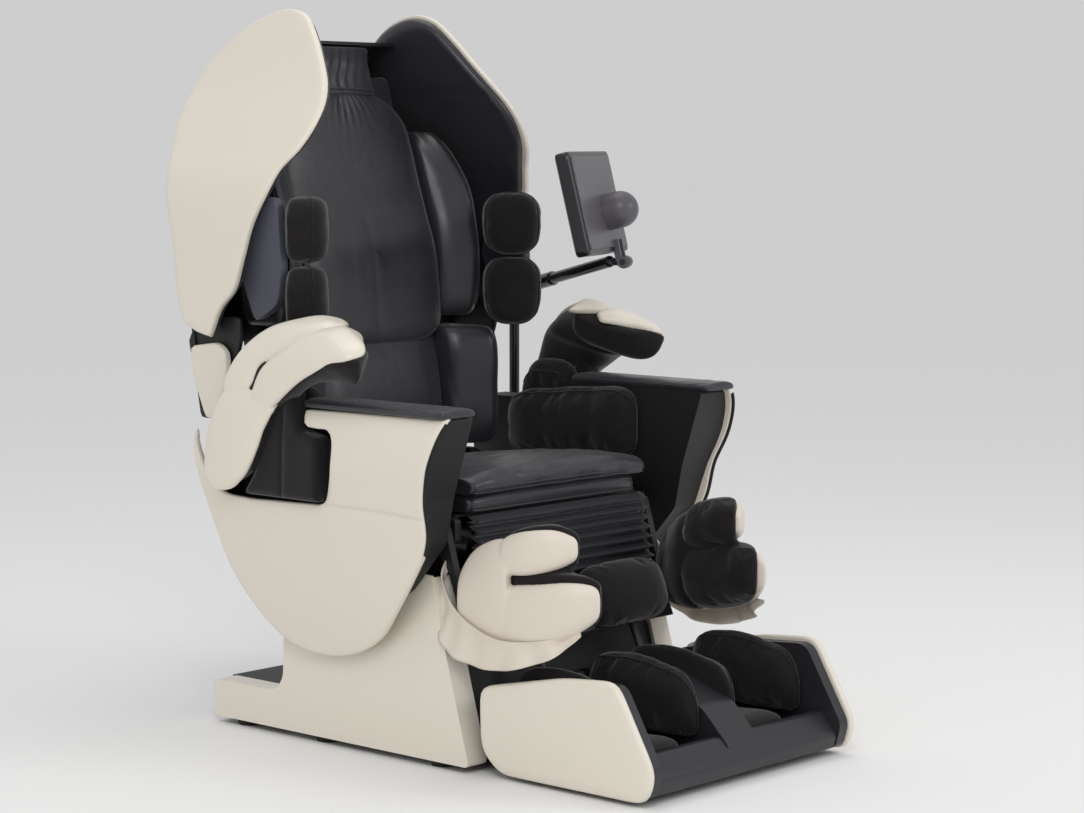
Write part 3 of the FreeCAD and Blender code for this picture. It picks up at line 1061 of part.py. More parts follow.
def foot_unit():
    """The foot unit: a black tub with two wells, cream side panels, pads and sole rollers."""
    half, panel = mm("foot_half_width"), mm("foot_panel_thick")
    inner, outer = mm("well_inner_x"), mm("well_outer_x")
    floor, rim = mm("well_floor_z"), mm("tub_top_z")
    face = rounded_face(FOOT_OUTLINE, [18, 50, 40, 22, 160, 34, 34], on_side(-half))
    right = piece("foot_panel", face.extrude(Vector(panel, 0, 0)))
    panels = both_sides("foot_panels", right)
    wide = half - panel
    tub = rounded_face([(-556, 12), (-250, 12), (-210, 48), (-206, rim), (-530, rim), (-566, 40)],
                       [16, 40, 30, 4, 14, 20], on_side(-wide)).extrude(Vector(wide * 2, 0, 0))
    console = rounded_face([(-540, 20), (-208, 20), (-208, 150), (-370, 164), (-490, 120), (-550, 60)],
                           [6, 6, 16, 60, 60, 20], on_side(-inner)).extrude(Vector(inner * 2, 0, 0))
    solids = [tub, console]
    cheek = [(-560, 14), (-250, 14), (-210, 46), (-205, 146), (-385, 182), (-494, 190), (-572, 58)]
    for x in (-wide, outer):
        solids.append(rounded_face(cheek, [16, 46, 34, 18, 150, 30, 30], on_side(x)).extrude(Vector(wide - outer, 0, 0)))
    wall = rounded_face([(-236, 20), (-208, 20), (-206, 146), (-234, 150)], [4, 4, 8, 8], on_side(-outer))
    solids.append(wall.extrude(Vector(outer * 2, 0, 0)))
    housing = solids[0].fuse(solids[1:])
    cuts = []
    for side in (-1, 1):
        x = inner if side > 0 else -outer
        well = rounded_face([(-518, floor), (-236, floor), (-236, 240), (-518, 240)], [12, 12, 0, 0], on_side(x))
        cuts.append(well.extrude(Vector(outer - inner, 0, 0)))
        slot_x = side * (inner + outer) / 2 - mm("sole_roller_width") / 2 - 3
        cuts.append(Part.makeBox(mm("sole_roller_width") + 6, 36, 40, Vector(slot_x, -398, 24)))
    cuts.append(along_x(4.4, outer * 2, -outer, -380, 42))
    housing = housing.cut(cuts[0].fuse(cuts[1:]))
    ribs = []
    for side in (-1, 1):
        for x in (inner + 36, outer - 44):
            start = x if side > 0 else -x - 8
            ribs.append(Part.makeBox(8, 220, 14, Vector(start, -480, floor)))
    rods = [Part.makeCylinder(mm("slide_tube_radius") - 4, 168, slide_place(16, side * mm("slide_tube_x")),
                              slide_place(1) - slide_place(0)) for side in (-1, 1)]
    housing = piece("foot_housing", housing.fuse(ribs + rods).removeSplitter())
    pads = []
    for x, out, lift in ((-inner - 0.4, -1, 58), (-outer + 0.4, 1, 58)):
        stations = []
        for y, z_mid, tall, full in ((-486, 104, 78, 0.4), (-468, 116, 100, 0.8), (-400, 128, 124, 1.0),
                                     (-320, 130, 128, 1.0), (-268, 126, 116, 0.8), (-248, 118, 96, 0.4)):
            stations.append((Vector(x, y, z_mid), Vector(0, 0, 1), Vector(out, 0, 0), tall, 30 * full, 0.6, 0.03))
        pads.append(piece("foot_side_pad", padded(stations)))
    middle = -(inner + outer) / 2
    sole = [(Vector(middle, y, floor + 14.4), Vector(1, 0, 0), Vector(0, 0, 1), width, 12 * full, 0.6, 0.02)
            for y, width, full in ((-484, 110, 0.5), (-470, 124, 0.9), (-380, 128, 1.0), (-290, 128, 1.0),
                                   (-272, 118, 0.6))]
    pads.append(piece("foot_sole_pad", padded(sole)))
    pads += [mirrored(pad.Name + "_left", pad) for pad in list(pads)]
    shaft = [along_x(4, outer * 2 - 6, -outer + 3, -380, 42)]
    for side in (-1, 1):
        start = side * (inner + outer) / 2 - mm("sole_roller_width") / 2
        for index in range(4):
            shaft.append(along_x(mm("sole_roller_radius"), 8, start + index * 14 + 1, -380, 42))
    rollers = piece("sole_rollers", shaft[0].fuse(shaft[1:]))
    return [housing, panels, group("foot_pads", pads), rollers]


# Tablet arm on the sitter's left

ARM_TIP = (311, -18, 839)


def tablet_post():
    """The upright post on the left side panel, with its bracket."""
    post = rod("post_rod", "post_radius", "post_top_z - 500", ("post_x", "post_y", "500"), None)
    bracket = box("post_bracket", ("14.6", "20", "46"), ("post_x - 12.6", "post_y - 10", "500"))
    return join("tablet_post", [post, bracket])


def tablet_arm():
    """The swivel sleeve, the two-piece tube and the knuckle pin that carries the tablet."""
    start = Vector(mm("post_x"), mm("post_y"), mm("post_top_z") + 18)
    tip = Vector(*ARM_TIP)
    across = tablet_turn().multVec(Vector(1, 0, 0))
    elbow = tip + Vector(-across.y, across.x, 0) * 30
    line = elbow - start
    length = line.Length
    radius = mm("arm_tube_radius")
    sleeve = Part.makeCylinder(radius + 6, 36, start - Vector(0, 0, 17.6), Vector(0, 0, 1))
    tube = Part.makeCylinder(radius, length, start, line).fuse(Part.makeSphere(radius, elbow))
    neck = Part.makeCylinder(7, 30, elbow, tip - elbow)
    collar = Part.makeCylinder(radius + 3, length * 0.42, start, line)
    knuckle = Part.makeCylinder(radius + 1, 18, tip - across * 9, across)
    pin = Part.makeCylinder(5, 36, tip - across * 18, across)
    return piece("tablet_arm", sleeve.fuse([tube, neck, collar, knuckle, pin]).removeSplitter())


def tablet_turn():
    """The tablet's turn: it faces the sitter and leans its top edge towards them."""
    return Rotation(Vector(0, 0, 1), 23.9).multiply(Rotation(Vector(1, 0, 0), -13))


def tablet():
    """The control tablet: a case with a screen, a domed boss on its back and two ears on the pin."""
    wide, tall, thick = mm("tablet_width"), mm("tablet_height"), mm("tablet_thick")
    left, low = -wide * 0.7, 22
    face = rounded_face([(left, low), (left + wide, low), (left + wide, low + tall), (left, low + tall)], 14,
                        on_front(10))
    case = face.extrude(Vector(0, thick, 0))
    window = Part.makeBox(wide - 28, 4, tall - 28, Vector(left + 14, 10 + thick - 2, low + 14))
    case = case.cut(window)
    middle = left + wide * 0.62
    boss = Part.makeCylinder(34, 30, Vector(middle, 11, low + 74), Vector(0, -1, 0))
    dome = Part.makeSphere(34, Vector(middle, -19, low + 74))
    ears = []
    for x in (-15.6, 9.6):
        ears.append(Part.makeBox(6, 12, 40, Vector(x, 0, 4)).fuse(
            Part.makeCylinder(11, 6, Vector(x, 0, 0), Vector(1, 0, 0))))
    solid = case.fuse([boss, dome] + ears)
    solid = solid.cut(Part.makeCylinder(5 + mm("pin_clearance"), 60, Vector(-30, 0, 0), Vector(1, 0, 0)))
    screen = Part.makeBox(wide - 28.4, 2, tall - 28.4, Vector(left + 14.2, 10 + thick - 2, low + 14.2))
    place = Placement(Vector(*ARM_TIP), tablet_turn())
    return group("tablet", [piece("tablet_case", solid.removeSplitter(), place),
                            piece("tablet_screen", screen, place)])


def build():
    nodes = pedestal() + pneumatics()
    tilt_y, foot_z = mm("tilt_y") - 162, mm("rubber_foot_height") + 62
    cross = mm("cross_tube_z")
    nodes += actuator("tilt_actuator", 0, (tilt_y, foot_z), HORN["tilt"], 190)
    nodes += actuator("recline_actuator", mm("recline_actuator_x"), (mm("front_tube_y"), cross - 42),
                      HORN["recline"], 200)
    nodes += actuator("legrest_actuator", mm("legrest_actuator_x"), (mm("rear_tube_y"), cross - 42),
                      HORN["legrest"], 120)
    nodes += [cradle_frame(), cradle_pins()] + seat_soft() + [bellows()]
    for maker in (side_panel, side_body, arm_hood):
        right = maker()
        nodes += [right, mirrored(right.Label.replace("_right", "_left"), right)]
    nodes += [both_sides("armrest_pads", armrest_pad()), both_sides("arm_pads", arm_pad(right)), side_pads()]
    nodes += [back_frame(), guide_rails(), back_shell()]
    right = hood()
    nodes += [right, mirrored("hood_left", right), both_sides("hood_liners", hood_liner())]
    soft = back_soft()
    bolster = bolsters(soft[0])
    nodes += soft + [bolster] + shoulder_group(bolster) + [low_side_covers()]
    nodes += massage_carriage() + [legrest_frame()] + calf_unit() + foot_unit()
    nodes += [tablet_post(), tablet_arm(), tablet()]
    return nodes


NODES = build()
doc.recompute()
for feature in doc.Objects:
    if "Invalid" in feature.State or "Error" in feature.State:
        raise RuntimeError(f"{feature.Name} failed: {feature.State}")
names = [node.Label for node in NODES]
if len(set(names)) != len(names):
    raise RuntimeError("two pieces share a name")
os.makedirs("parts", exist_ok=True)
for node in NODES:
    shape = node.Shape
    if shape.isNull() or not shape.isValid():
        raise RuntimeError(f"{node.Label} has no valid shape")
    shape.exportStep(f"parts/{node.Label}.step")
print(len(NODES), "nodes")
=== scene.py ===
# %% [markdown]
# # A reclining massage chair
#
# The chair stands on a box pedestal. A seat cradle tilts on the pedestal, and the backrest and the
# legrest turn on the cradle. Cream shells carry black padded linings. This file dresses the packed
# model piece by piece: hard shells get crisp rounded rims, and pads get a puffed, sewn surface.

# %% Load the frame and keep its parts
import math

import bmesh
import bpy
import numpy as np
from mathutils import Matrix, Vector, geometry
from mathutils.bvhtree import BVHTree

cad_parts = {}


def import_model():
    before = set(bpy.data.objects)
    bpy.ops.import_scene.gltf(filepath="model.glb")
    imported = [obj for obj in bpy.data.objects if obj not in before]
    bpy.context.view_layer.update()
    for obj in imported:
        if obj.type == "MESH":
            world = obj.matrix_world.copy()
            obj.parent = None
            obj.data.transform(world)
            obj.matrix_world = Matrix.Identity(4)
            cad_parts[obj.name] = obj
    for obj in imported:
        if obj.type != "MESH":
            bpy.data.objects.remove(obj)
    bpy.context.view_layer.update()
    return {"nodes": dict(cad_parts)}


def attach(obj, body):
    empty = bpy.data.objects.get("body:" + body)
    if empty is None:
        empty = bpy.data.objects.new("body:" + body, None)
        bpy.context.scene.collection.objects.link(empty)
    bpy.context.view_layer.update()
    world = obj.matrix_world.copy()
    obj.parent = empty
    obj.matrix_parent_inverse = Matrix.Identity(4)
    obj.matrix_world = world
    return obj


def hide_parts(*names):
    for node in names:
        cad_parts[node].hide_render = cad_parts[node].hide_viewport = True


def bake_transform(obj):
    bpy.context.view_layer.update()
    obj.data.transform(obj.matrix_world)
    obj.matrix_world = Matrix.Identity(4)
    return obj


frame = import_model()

MM = 0.001
NODES = frame["nodes"]

# %% [markdown]
# ## Materials
#
# Every finish starts from what the real surface is: satin gel coat on the cream shells, embossed
# synthetic leather on the pads, a tight knit over the air cells, moulded ABS, powder coat and ground
# steel. One function turns a hex colour to linear light, and one adds a node with its links.

# %% Colour and node helpers
def linear(hex_colour, alpha=1.0):
    """sRGB hex to linear: c / 12.92 below 0.04045, ((c + 0.055) / 1.055) ** 2.4 above it."""
    channels = [int(hex_colour[i:i + 2], 16) / 255 for i in (1, 3, 5)]
    return [c / 12.92 if c < 0.04045 else ((c + 0.055) / 1.055) ** 2.4 for c in channels] + [alpha]


def add(tree, kind, inputs=None, **settings):
    """One node with its settings; an input is a value, or a socket to link from."""
    made = tree.nodes.new(kind)
    for name, value in settings.items():
        setattr(made, name, value)
    for name, value in (inputs or {}).items():
        if isinstance(value, bpy.types.NodeSocket):
            tree.links.new(value, made.inputs[name])
        else:
            made.inputs[name].default_value = value
    return made


def new_material(name, colour, roughness, metallic=0.0, **shader):
    """A principled material and its tree; other shader inputs are named with underscores."""
    material = bpy.data.materials.new(name)
    material.use_nodes = True
    tree = material.node_tree
    bsdf = tree.nodes["Principled BSDF"]
    bsdf.inputs["Base Color"].default_value = linear(colour)
    bsdf.inputs["Roughness"].default_value = roughness
    bsdf.inputs["Metallic"].default_value = metallic
    for key, value in shader.items():
        bsdf.inputs[key.replace("_", " ")].default_value = value
    material.diffuse_color = linear(colour)
    return material, tree, bsdf


def cloudy(tree, bsdf, place, scale, detail, colour, shade):
    """The base colour drifts between two tones along soft noise."""
    cloud = add(tree, "ShaderNodeTexNoise", {"Vector": place, "Scale": scale, "Detail": detail})
    tone = add(tree, "ShaderNodeMix", {"Factor": cloud.outputs["Fac"], "A": linear(colour),
                                       "B": linear(shade)}, data_type="RGBA")
    tree.links.new(tone.outputs["Result"], bsdf.inputs["Base Color"])


def drifting(tree, bsdf, place, scale, detail, low, high):
    """The roughness drifts between two values along soft noise."""
    wear = add(tree, "ShaderNodeTexNoise", {"Vector": place, "Scale": scale, "Detail": detail})
    gloss = add(tree, "ShaderNodeMapRange", {"Value": wear.outputs["Fac"], "From Min": 0.3, "From Max": 0.7,
                                             "To Min": low, "To Max": high})
    tree.links.new(gloss.outputs["Result"], bsdf.inputs["Roughness"])


def relief(tree, bsdf, *layers):
    """Surface relief, coarse layer first; a layer is (height socket, depth in metres, strength)."""
    below = {}
    for height, depth, strength in layers:
        bump = add(tree, "ShaderNodeBump", {"Height": height, "Distance": depth, "Strength": strength,
                                            **below})
        below = {"Normal": bump.outputs["Normal"]}
    tree.links.new(below["Normal"], bsdf.inputs["Normal"])

# %% [markdown]
# ### Synthetic leather
#
# Leather cloth has a pebbled emboss about 1.2 mm across, soft colour clouds from handling, and slow
# creases where foam gives way. The emboss is drawn slightly coarse, at 1.6 mm, so that it shows.

# %% Leather
PEBBLE = 0.0016


def leather(name, colour, shade, roughness, grain=0.00035, crease_depth=0.0012, crease_size=0.05):
    """Voronoi cells as pebbles, plus stretched noise as creases, both as bump heights in metres."""
    material, tree, bsdf = new_material(name, colour, roughness, Sheen_Weight=0.12, Sheen_Roughness=0.5,
                                        Specular_IOR_Level=0.5, Coat_Weight=0.12, Coat_Roughness=0.3)
    place = add(tree, "ShaderNodeTexCoord").outputs["Object"]
    cloudy(tree, bsdf, place, 5, 4, colour, shade)
    drifting(tree, bsdf, place, 18, 3, roughness - 0.07, roughness + 0.08)
    creases = add(tree, "ShaderNodeTexNoise", {"Vector": place, "Scale": 1 / crease_size, "Detail": 2.5,
                                               "Distortion": 0.8}).outputs["Fac"]
    pebbles = add(tree, "ShaderNodeTexVoronoi", {"Vector": place, "Scale": 1 / PEBBLE},
                  feature="SMOOTH_F1").outputs["Distance"]
    relief(tree, bsdf, (creases, crease_depth, 0.7), (pebbles, grain, 0.5))
    return material


black_leather = leather("black_synthetic_leather", "#1F1E24", "#2D2B33", 0.34)
slate_leather = leather("slate_synthetic_leather", "#3E404B", "#484A56", 0.46)
cream_leather = leather("cream_synthetic_leather", "#DDD2C4", "#E3D9CC", 0.47, grain=0.0002,
                        crease_depth=0.0006, crease_size=0.09)
print("leathers:", black_leather.name, slate_leather.name, cream_leather.name)

# %% [markdown]
# ### Knit over the air cells
#
# The air pads that squeeze hips, calves and feet have a tight black warp knit that stretches. Its ribs
# are under a millimetre apart; they are drawn 2 mm apart here, or they would not show.

# %% Knit fabric
RIB = 0.002


def knit(name, colour, shade):
    """Two crossed wave textures whose product is a small raised stitch at every crossing.

    A wave texture of scale s has a band every 0.314 / s metres.
    """
    material, tree, bsdf = new_material(name, colour, 0.82, Sheen_Weight=0.35, Sheen_Roughness=0.4,
                                        Specular_IOR_Level=0.25)
    place = add(tree, "ShaderNodeTexCoord").outputs["Object"]
    cloudy(tree, bsdf, place, 9, 5, colour, shade)
    wave = {"Vector": place, "Scale": 0.314 / RIB, "Distortion": 0.4}
    across, along = (add(tree, "ShaderNodeTexWave", wave, bands_direction=way).outputs["Fac"] for way in "ZY")
    stitch = add(tree, "ShaderNodeMath", {0: across, 1: along}, operation="MULTIPLY").outputs["Value"]
    wrinkle = add(tree, "ShaderNodeTexNoise", {"Vector": place, "Scale": 26, "Detail": 2}).outputs["Fac"]
    relief(tree, bsdf, (wrinkle, 0.0016, 0.6), (stitch, 0.0005, 0.6))
    return material


black_knit = knit("black_warp_knit", "#131012", "#1E1A1C")
print("knit:", black_knit.name)

# %% [markdown]
# ### Moulded and coated hard surfaces
#
# The cream shells are vacuum formed ABS under a pearl satin lacquer, almost smooth, with a weak orange
# peel. The black and grey mouldings have a spark-eroded texture of about half a millimetre. Frames are
# powder coated, which leaves a soft dimpled skin. Pins and rods are ground steel, motor housings are
# cast and dull, rollers are turned nylon, and the tablet's screen is glass, nearly a mirror.

# %% Mouldings, coats and metals
def moulded(name, colour, roughness, texture=0.0006, height=0.00006, metallic=0.0, **shader):
    """Fine noise as the mould's texture, and slow noise that lets the gloss drift by 0.05 each way."""
    material, tree, bsdf = new_material(name, colour, roughness, metallic, **shader)
    place = add(tree, "ShaderNodeTexCoord").outputs["Object"]
    drifting(tree, bsdf, place, 7, 6, roughness - 0.05, roughness + 0.05)
    skin = add(tree, "ShaderNodeTexNoise", {"Vector": place, "Scale": 1 / texture, "Detail": 2})
    relief(tree, bsdf, (skin.outputs["Fac"], height, 0.5))
    return material


cream_lacquer = moulded("cream_pearl_lacquer_on_abs", "#E6DFD1", 0.33, texture=0.004, height=0.00003,
                        Coat_Weight=0.25, Coat_Roughness=0.18)
black_abs = moulded("black_textured_abs", "#151517", 0.55)
grey_abs = moulded("dark_grey_satin_abs", "#28262B", 0.36, texture=0.0009)
tablet_abs = moulded("grey_satin_abs", "#57545A", 0.36, texture=0.0008)
edge_abs = moulded("black_gloss_abs", "#1E1C20", 0.2, texture=0.003, height=0.00002)
powder_coat = moulded("black_powder_coat", "#1B1B1D", 0.5, texture=0.0012, height=0.00012)
ground_steel = moulded("ground_steel", "#B9BABC", 0.3, texture=0.0005, metallic=1.0)
cast_alloy = moulded("cast_aluminium", "#9B9DA0", 0.48, texture=0.0015, height=0.0002, metallic=1.0)
black_rubber = moulded("moulded_rubber", "#121213", 0.75, texture=0.001, height=0.0002)
roller_nylon = moulded("dark_nylon", "#2C2B2E", 0.45)
screen_glass = moulded("dark_screen_glass", "#0B0C0F", 0.08, texture=0.01, height=0.00001, Coat_Weight=0.6,
                       Coat_Roughness=0.03)
print("finishes:", len(bpy.data.materials))

# %% [markdown]
# ## Tools for surfaces
#
# All places below are in millimetres. The tables hold one side of the chair, and each piece is made
# twice, with x mirrored by the sign of its side. Smooth lines run through measured points. A trimmed
# shell is a flat outline filled with small triangles and lifted by a height function, because its
# notches rule out a plain grid. A stack is a grid surface through a few closed sections. A joined skin
# grows over several closed pieces, and a cord or a sewn line is laid on the surface that is already
# there.

# %% Smooth lines
def smooth_line(points, count, ease=False):
    """Cubic Hermite runs through the points; each tangent is the slope between its neighbours.

    With ease the steps follow sin(pi u / 2), u in -1..1, so that they crowd at both ends.
    """
    p = np.asarray(points, float)
    flat = p.reshape(len(p), -1)
    step = np.linalg.norm(np.diff(flat, axis=0), axis=1)
    knots = np.concatenate([[0], np.cumsum(step)])
    slope = np.gradient(flat, knots, axis=0, edge_order=1)
    u = np.linspace(-1, 1, count)
    u = np.sin(u * np.pi / 2) if ease else u
    t = (u + 1) / 2 * knots[-1]
    k = np.clip(np.searchsorted(knots, t, side="right") - 1, 0, len(p) - 2)
    h = (knots[k + 1] - knots[k])[:, None]
    s = (t - knots[k])[:, None] / h
    line = ((2 * s**3 - 3 * s**2 + 1) * flat[k] + (s**3 - 2 * s**2 + s) * h * slope[k]
            + (3 * s**2 - 2 * s**3) * flat[k + 1] + (s**3 - s**2) * h * slope[k + 1])
    return line.reshape((count,) + p.shape[1:])


def even_line(points, spacing=None, count=None, closed=False):
    """The polyline through the points, cut to even steps of the spacing or to that many points."""
    p = np.asarray(points, float)
    if closed:
        p = np.vstack([p, p[:1]])
    run = np.concatenate([[0], np.cumsum(np.linalg.norm(np.diff(p, axis=0), axis=1))])
    steps = count if count else max(int(round(run[-1] / spacing)), 4)
    t = np.linspace(0, run[-1], steps + 1)
    line = np.stack([np.interp(t, run, p[:, i]) for i in range(p.shape[1])], 1)
    return line[:-1] if closed else line


def rounded(outline, radius, count=96):
    """A closed outline whose corners are rounded by averaging each point with its neighbours."""
    line = even_line(outline, count=count, closed=True)
    step = np.linalg.norm(line - np.roll(line, 1, axis=0), axis=1).mean()
    for _ in range(max(int((radius / step) ** 2 * 0.5), 1)):
        line = line * 0.5 + (np.roll(line, 1, axis=0) + np.roll(line, -1, axis=0)) * 0.25
    return line


def distance_to(points, line, closed=True):
    """Distance of each point to the polyline: the shortest over its segments, as whole arrays."""
    a = np.asarray(line, float)
    b = np.roll(a, -1, axis=0) if closed else a[1:]
    a = a if closed else a[:-1]
    ab = b - a
    parts = []
    for start in range(0, len(points), 3000):
        p = points[start:start + 3000, None, :]
        t = np.clip(((p - a) * ab).sum(2) / np.maximum((ab * ab).sum(1), 1e-12), 0, 1)
        parts.append(np.sqrt(((p - a - ab * t[..., None]) ** 2).sum(2)).min(1))
    return np.concatenate(parts)


def inside(points, outline):
    """Even-odd rule: a point is inside when a ray towards +x crosses the outline an odd number of times."""
    a = np.asarray(outline, float)
    b = np.roll(a, -1, axis=0)
    x, y = points[:, 0][:, None], points[:, 1][:, None]
    rise = np.where(b[:, 1] == a[:, 1], 1e-12, b[:, 1] - a[:, 1])
    hit = ((a[:, 1] > y) != (b[:, 1] > y)) & (x < a[:, 0] + (y - a[:, 1]) / rise * (b[:, 0] - a[:, 0]))
    return hit.sum(1) % 2 == 1


def unit(vectors):
    """The vectors at length 1: v / |v|."""
    vectors = np.asarray(vectors, float)
    return vectors / np.linalg.norm(vectors, axis=-1, keepdims=True)


def inward(line):
    """Unit normals of a closed outline, square to the line between each point's neighbours."""
    along = np.roll(line, -1, axis=0) - np.roll(line, 1, axis=0)
    normal = unit(along[:, ::-1] * (-1, 1))
    return normal if inside(line[:1] + normal[:1] * 0.5, line)[0] else -normal


print("lines ready")

# %% Objects from arrays
def smoothed(mesh):
    """The mesh with smooth shading on every face."""
    mesh.polygons.foreach_set("use_smooth", np.ones(len(mesh.polygons), bool))
    return mesh


def linked(name, mesh):
    """A new object in the scene."""
    made = bpy.data.objects.new(name, mesh)
    bpy.context.scene.collection.objects.link(made)
    return made


def new_object(name, vertices, faces, material):
    """An object at the origin, turned faces outwards, from points in millimetres."""
    mesh = bpy.data.meshes.new(name)
    mesh.from_pydata((np.asarray(vertices) * MM).tolist(), [], [tuple(int(i) for i in f) for f in faces])
    work = bmesh.new()
    work.from_mesh(mesh)
    bmesh.ops.remove_doubles(work, verts=work.verts, dist=2e-6)
    bmesh.ops.recalc_face_normals(work, faces=work.faces)
    work.to_mesh(mesh)
    work.free()
    mesh.materials.append(material)
    return linked(name, smoothed(mesh))


def merged(mesh, pieces):
    """The mesh with the meshes of the pieces added to it; the pieces' objects go."""
    work = bmesh.new()
    work.from_mesh(mesh)
    for piece in pieces:
        work.from_mesh(piece.data)
        bpy.data.objects.remove(piece)
    work.to_mesh(mesh)
    work.free()
    return smoothed(mesh)


def grid_faces(rows, columns):
    """Quads of a grid whose last column joins its first."""
    r, c = np.meshgrid(np.arange(rows - 1), np.arange(columns), indexing="ij")
    a = r * columns + c
    b = r * columns + (c + 1) % columns
    return np.stack([a, b, b + columns, a + columns], -1).reshape(-1, 4)


def thick_sheet(front, back):
    """Points and faces of one closed skin round two grids of the same shape, as (row, column, xyz)."""
    ring = np.concatenate([front, back[:, ::-1]], 1)
    rows, size = ring.shape[:2]
    faces = list(grid_faces(rows, size))
    for base in (0, (rows - 1) * size):
        faces += [(base + i, base + i + 1, base + size - 2 - i, base + size - 1 - i)
                  for i in range(size // 2 - 1)]
    return ring.reshape(-1, 3), faces


def tube(name, line, radius, material, sides=8, closed=False):
    """Circles carried along the line, each square to it: p(u) + radius * (side cos t + up sin t)."""
    p = np.asarray(line, float)
    if closed:
        along = np.roll(p, -1, axis=0) - np.roll(p, 1, axis=0)
        p, along = np.vstack([p, p[:1]]), np.vstack([along, along[:1]])
    else:
        along = np.gradient(p, axis=0)
    along = unit(along)
    side = unit(np.cross(along, (0.62, 0.21, 0.37)))
    up = np.cross(side, along)
    t = np.linspace(0, 2 * np.pi, sides, endpoint=False)[:, None]
    verts = (p[:, None] + (side[:, None] * np.cos(t) + up[:, None] * np.sin(t)) * radius).reshape(-1, 3)
    faces = list(grid_faces(len(p), sides))
    if not closed:
        faces += [range(sides), range((len(p) - 1) * sides, len(p) * sides)]
    return new_object(name, verts, faces, material)

# %% Trimmed shells
def fill_outline(outline, spacing, rim, seams=()):
    """Triangles over a flat outline: rim rows, an even inner grid, and a constrained Delaunay fill."""
    border = even_line(outline, spacing, closed=True)
    low, high = border.min(0), border.max(0)
    rows = np.arange(low[1], high[1] + spacing, spacing * 0.87)
    shift = np.where(np.arange(len(rows)) % 2, spacing / 2, 0.0)
    columns = np.arange(low[0] - spacing, high[0] + spacing, spacing)
    grid = np.stack([(columns[None, :] + shift[:, None]).ravel(), np.repeat(rows, len(columns))], 1)
    lines = [even_line(seam, spacing / 2) for seam in seams]
    lines += [line + off for line in lines for off in ((3, 3), (-3, -3))]
    normal = inward(border)
    rings = [border + normal * rim * share for share in (0.1, 0.35, 0.8)]
    extra = np.vstack(rings + lines)
    extra = extra[inside(extra, border)]
    extra = extra[distance_to(extra, border) > rim * 0.09]
    keep = inside(grid, border) & (distance_to(grid, border) > rim * 0.8 + spacing * 0.4)
    for line in lines:
        keep &= distance_to(grid, line, closed=False) > spacing * 0.4
    points = np.vstack([border, extra, grid[keep]])
    edges = [(i, (i + 1) % len(border)) for i in range(len(border))]
    made = geometry.delaunay_2d_cdt([Vector(p) for p in points], edges, [], 1, 1e-6)
    return np.array([tuple(v) for v in made[0]]), np.array([tuple(f) for f in made[2]]), border


def boundary_pairs(tris):
    """Edges used by one triangle only."""
    edges = np.vstack([tris[:, [0, 1]], tris[:, [1, 2]], tris[:, [2, 0]]])
    key = np.sort(edges, axis=1)
    _, first, count = np.unique(key, axis=0, return_index=True, return_counts=True)
    return edges[first[count == 1]]


def shell(name, outline, lift, thick, material, sign=-1, facing=1, spacing=11, rim=4, back_rim=3, seams=(),
          groove=(3.5, 2.0), dome=None):
    """A moulded or padded panel that stands in the (y, z) plane, with rounded rims on both faces.

    Face: x = lift(y, z) - facing * (rim * (1 - sqrt(1 - (1 - d / rim) ** 2)) + seams), where d is the
    distance to the border and each seam adds depth * exp(-(distance / width) ** 2). The dome lifts it
    further. The back is thick behind. x is multiplied by the side's sign.
    """
    flat, tris, border = fill_outline(outline, spacing, rim, seams)
    dist = distance_to(flat, border)

    def fall(reach):
        share = np.clip(dist / reach, 0, 1)
        return reach * (1 - np.sqrt(np.clip(1 - (1 - share) ** 2, 0, 1)))

    sunk = np.zeros(len(flat))
    for line in seams:
        sunk += groove[1] * np.exp(-(distance_to(flat, line, closed=False) / groove[0]) ** 2)
    height = lift(flat[:, 0], flat[:, 1])
    outer = height + facing * ((dome(dist) if dome else 0) - fall(rim) - sunk)
    back = height - facing * (thick - fall(back_rim))
    verts = np.vstack([np.column_stack([face, flat]) for face in (outer, back)]) * (sign, 1, 1)
    hull = boundary_pairs(tris)[:, ::-1]
    walls = np.column_stack([hull, hull[:, ::-1] + len(flat)])
    return new_object(name, verts, [*tris, *(tris[:, ::-1] + len(flat)), *walls], material)


def profile(points):
    """A height function of z alone, through the (x, z) points of a front view."""
    line = smooth_line(points, 200)
    order = np.argsort(line[:, 1])
    return lambda y, z: np.interp(z, line[order, 1], line[order, 0])


def upright(x):
    """The height function of an upright plane."""
    return lambda y, z: np.full(len(y), float(x))

# %% Stacked sections
def taper(u, end):
    """1 in the middle and 0 at both ends, where u is -1 and 1: (1 - |u| ** end) ** (1 / end)."""
    return np.clip(1 - np.abs(u) ** end, 0, 1) ** (1 / end)


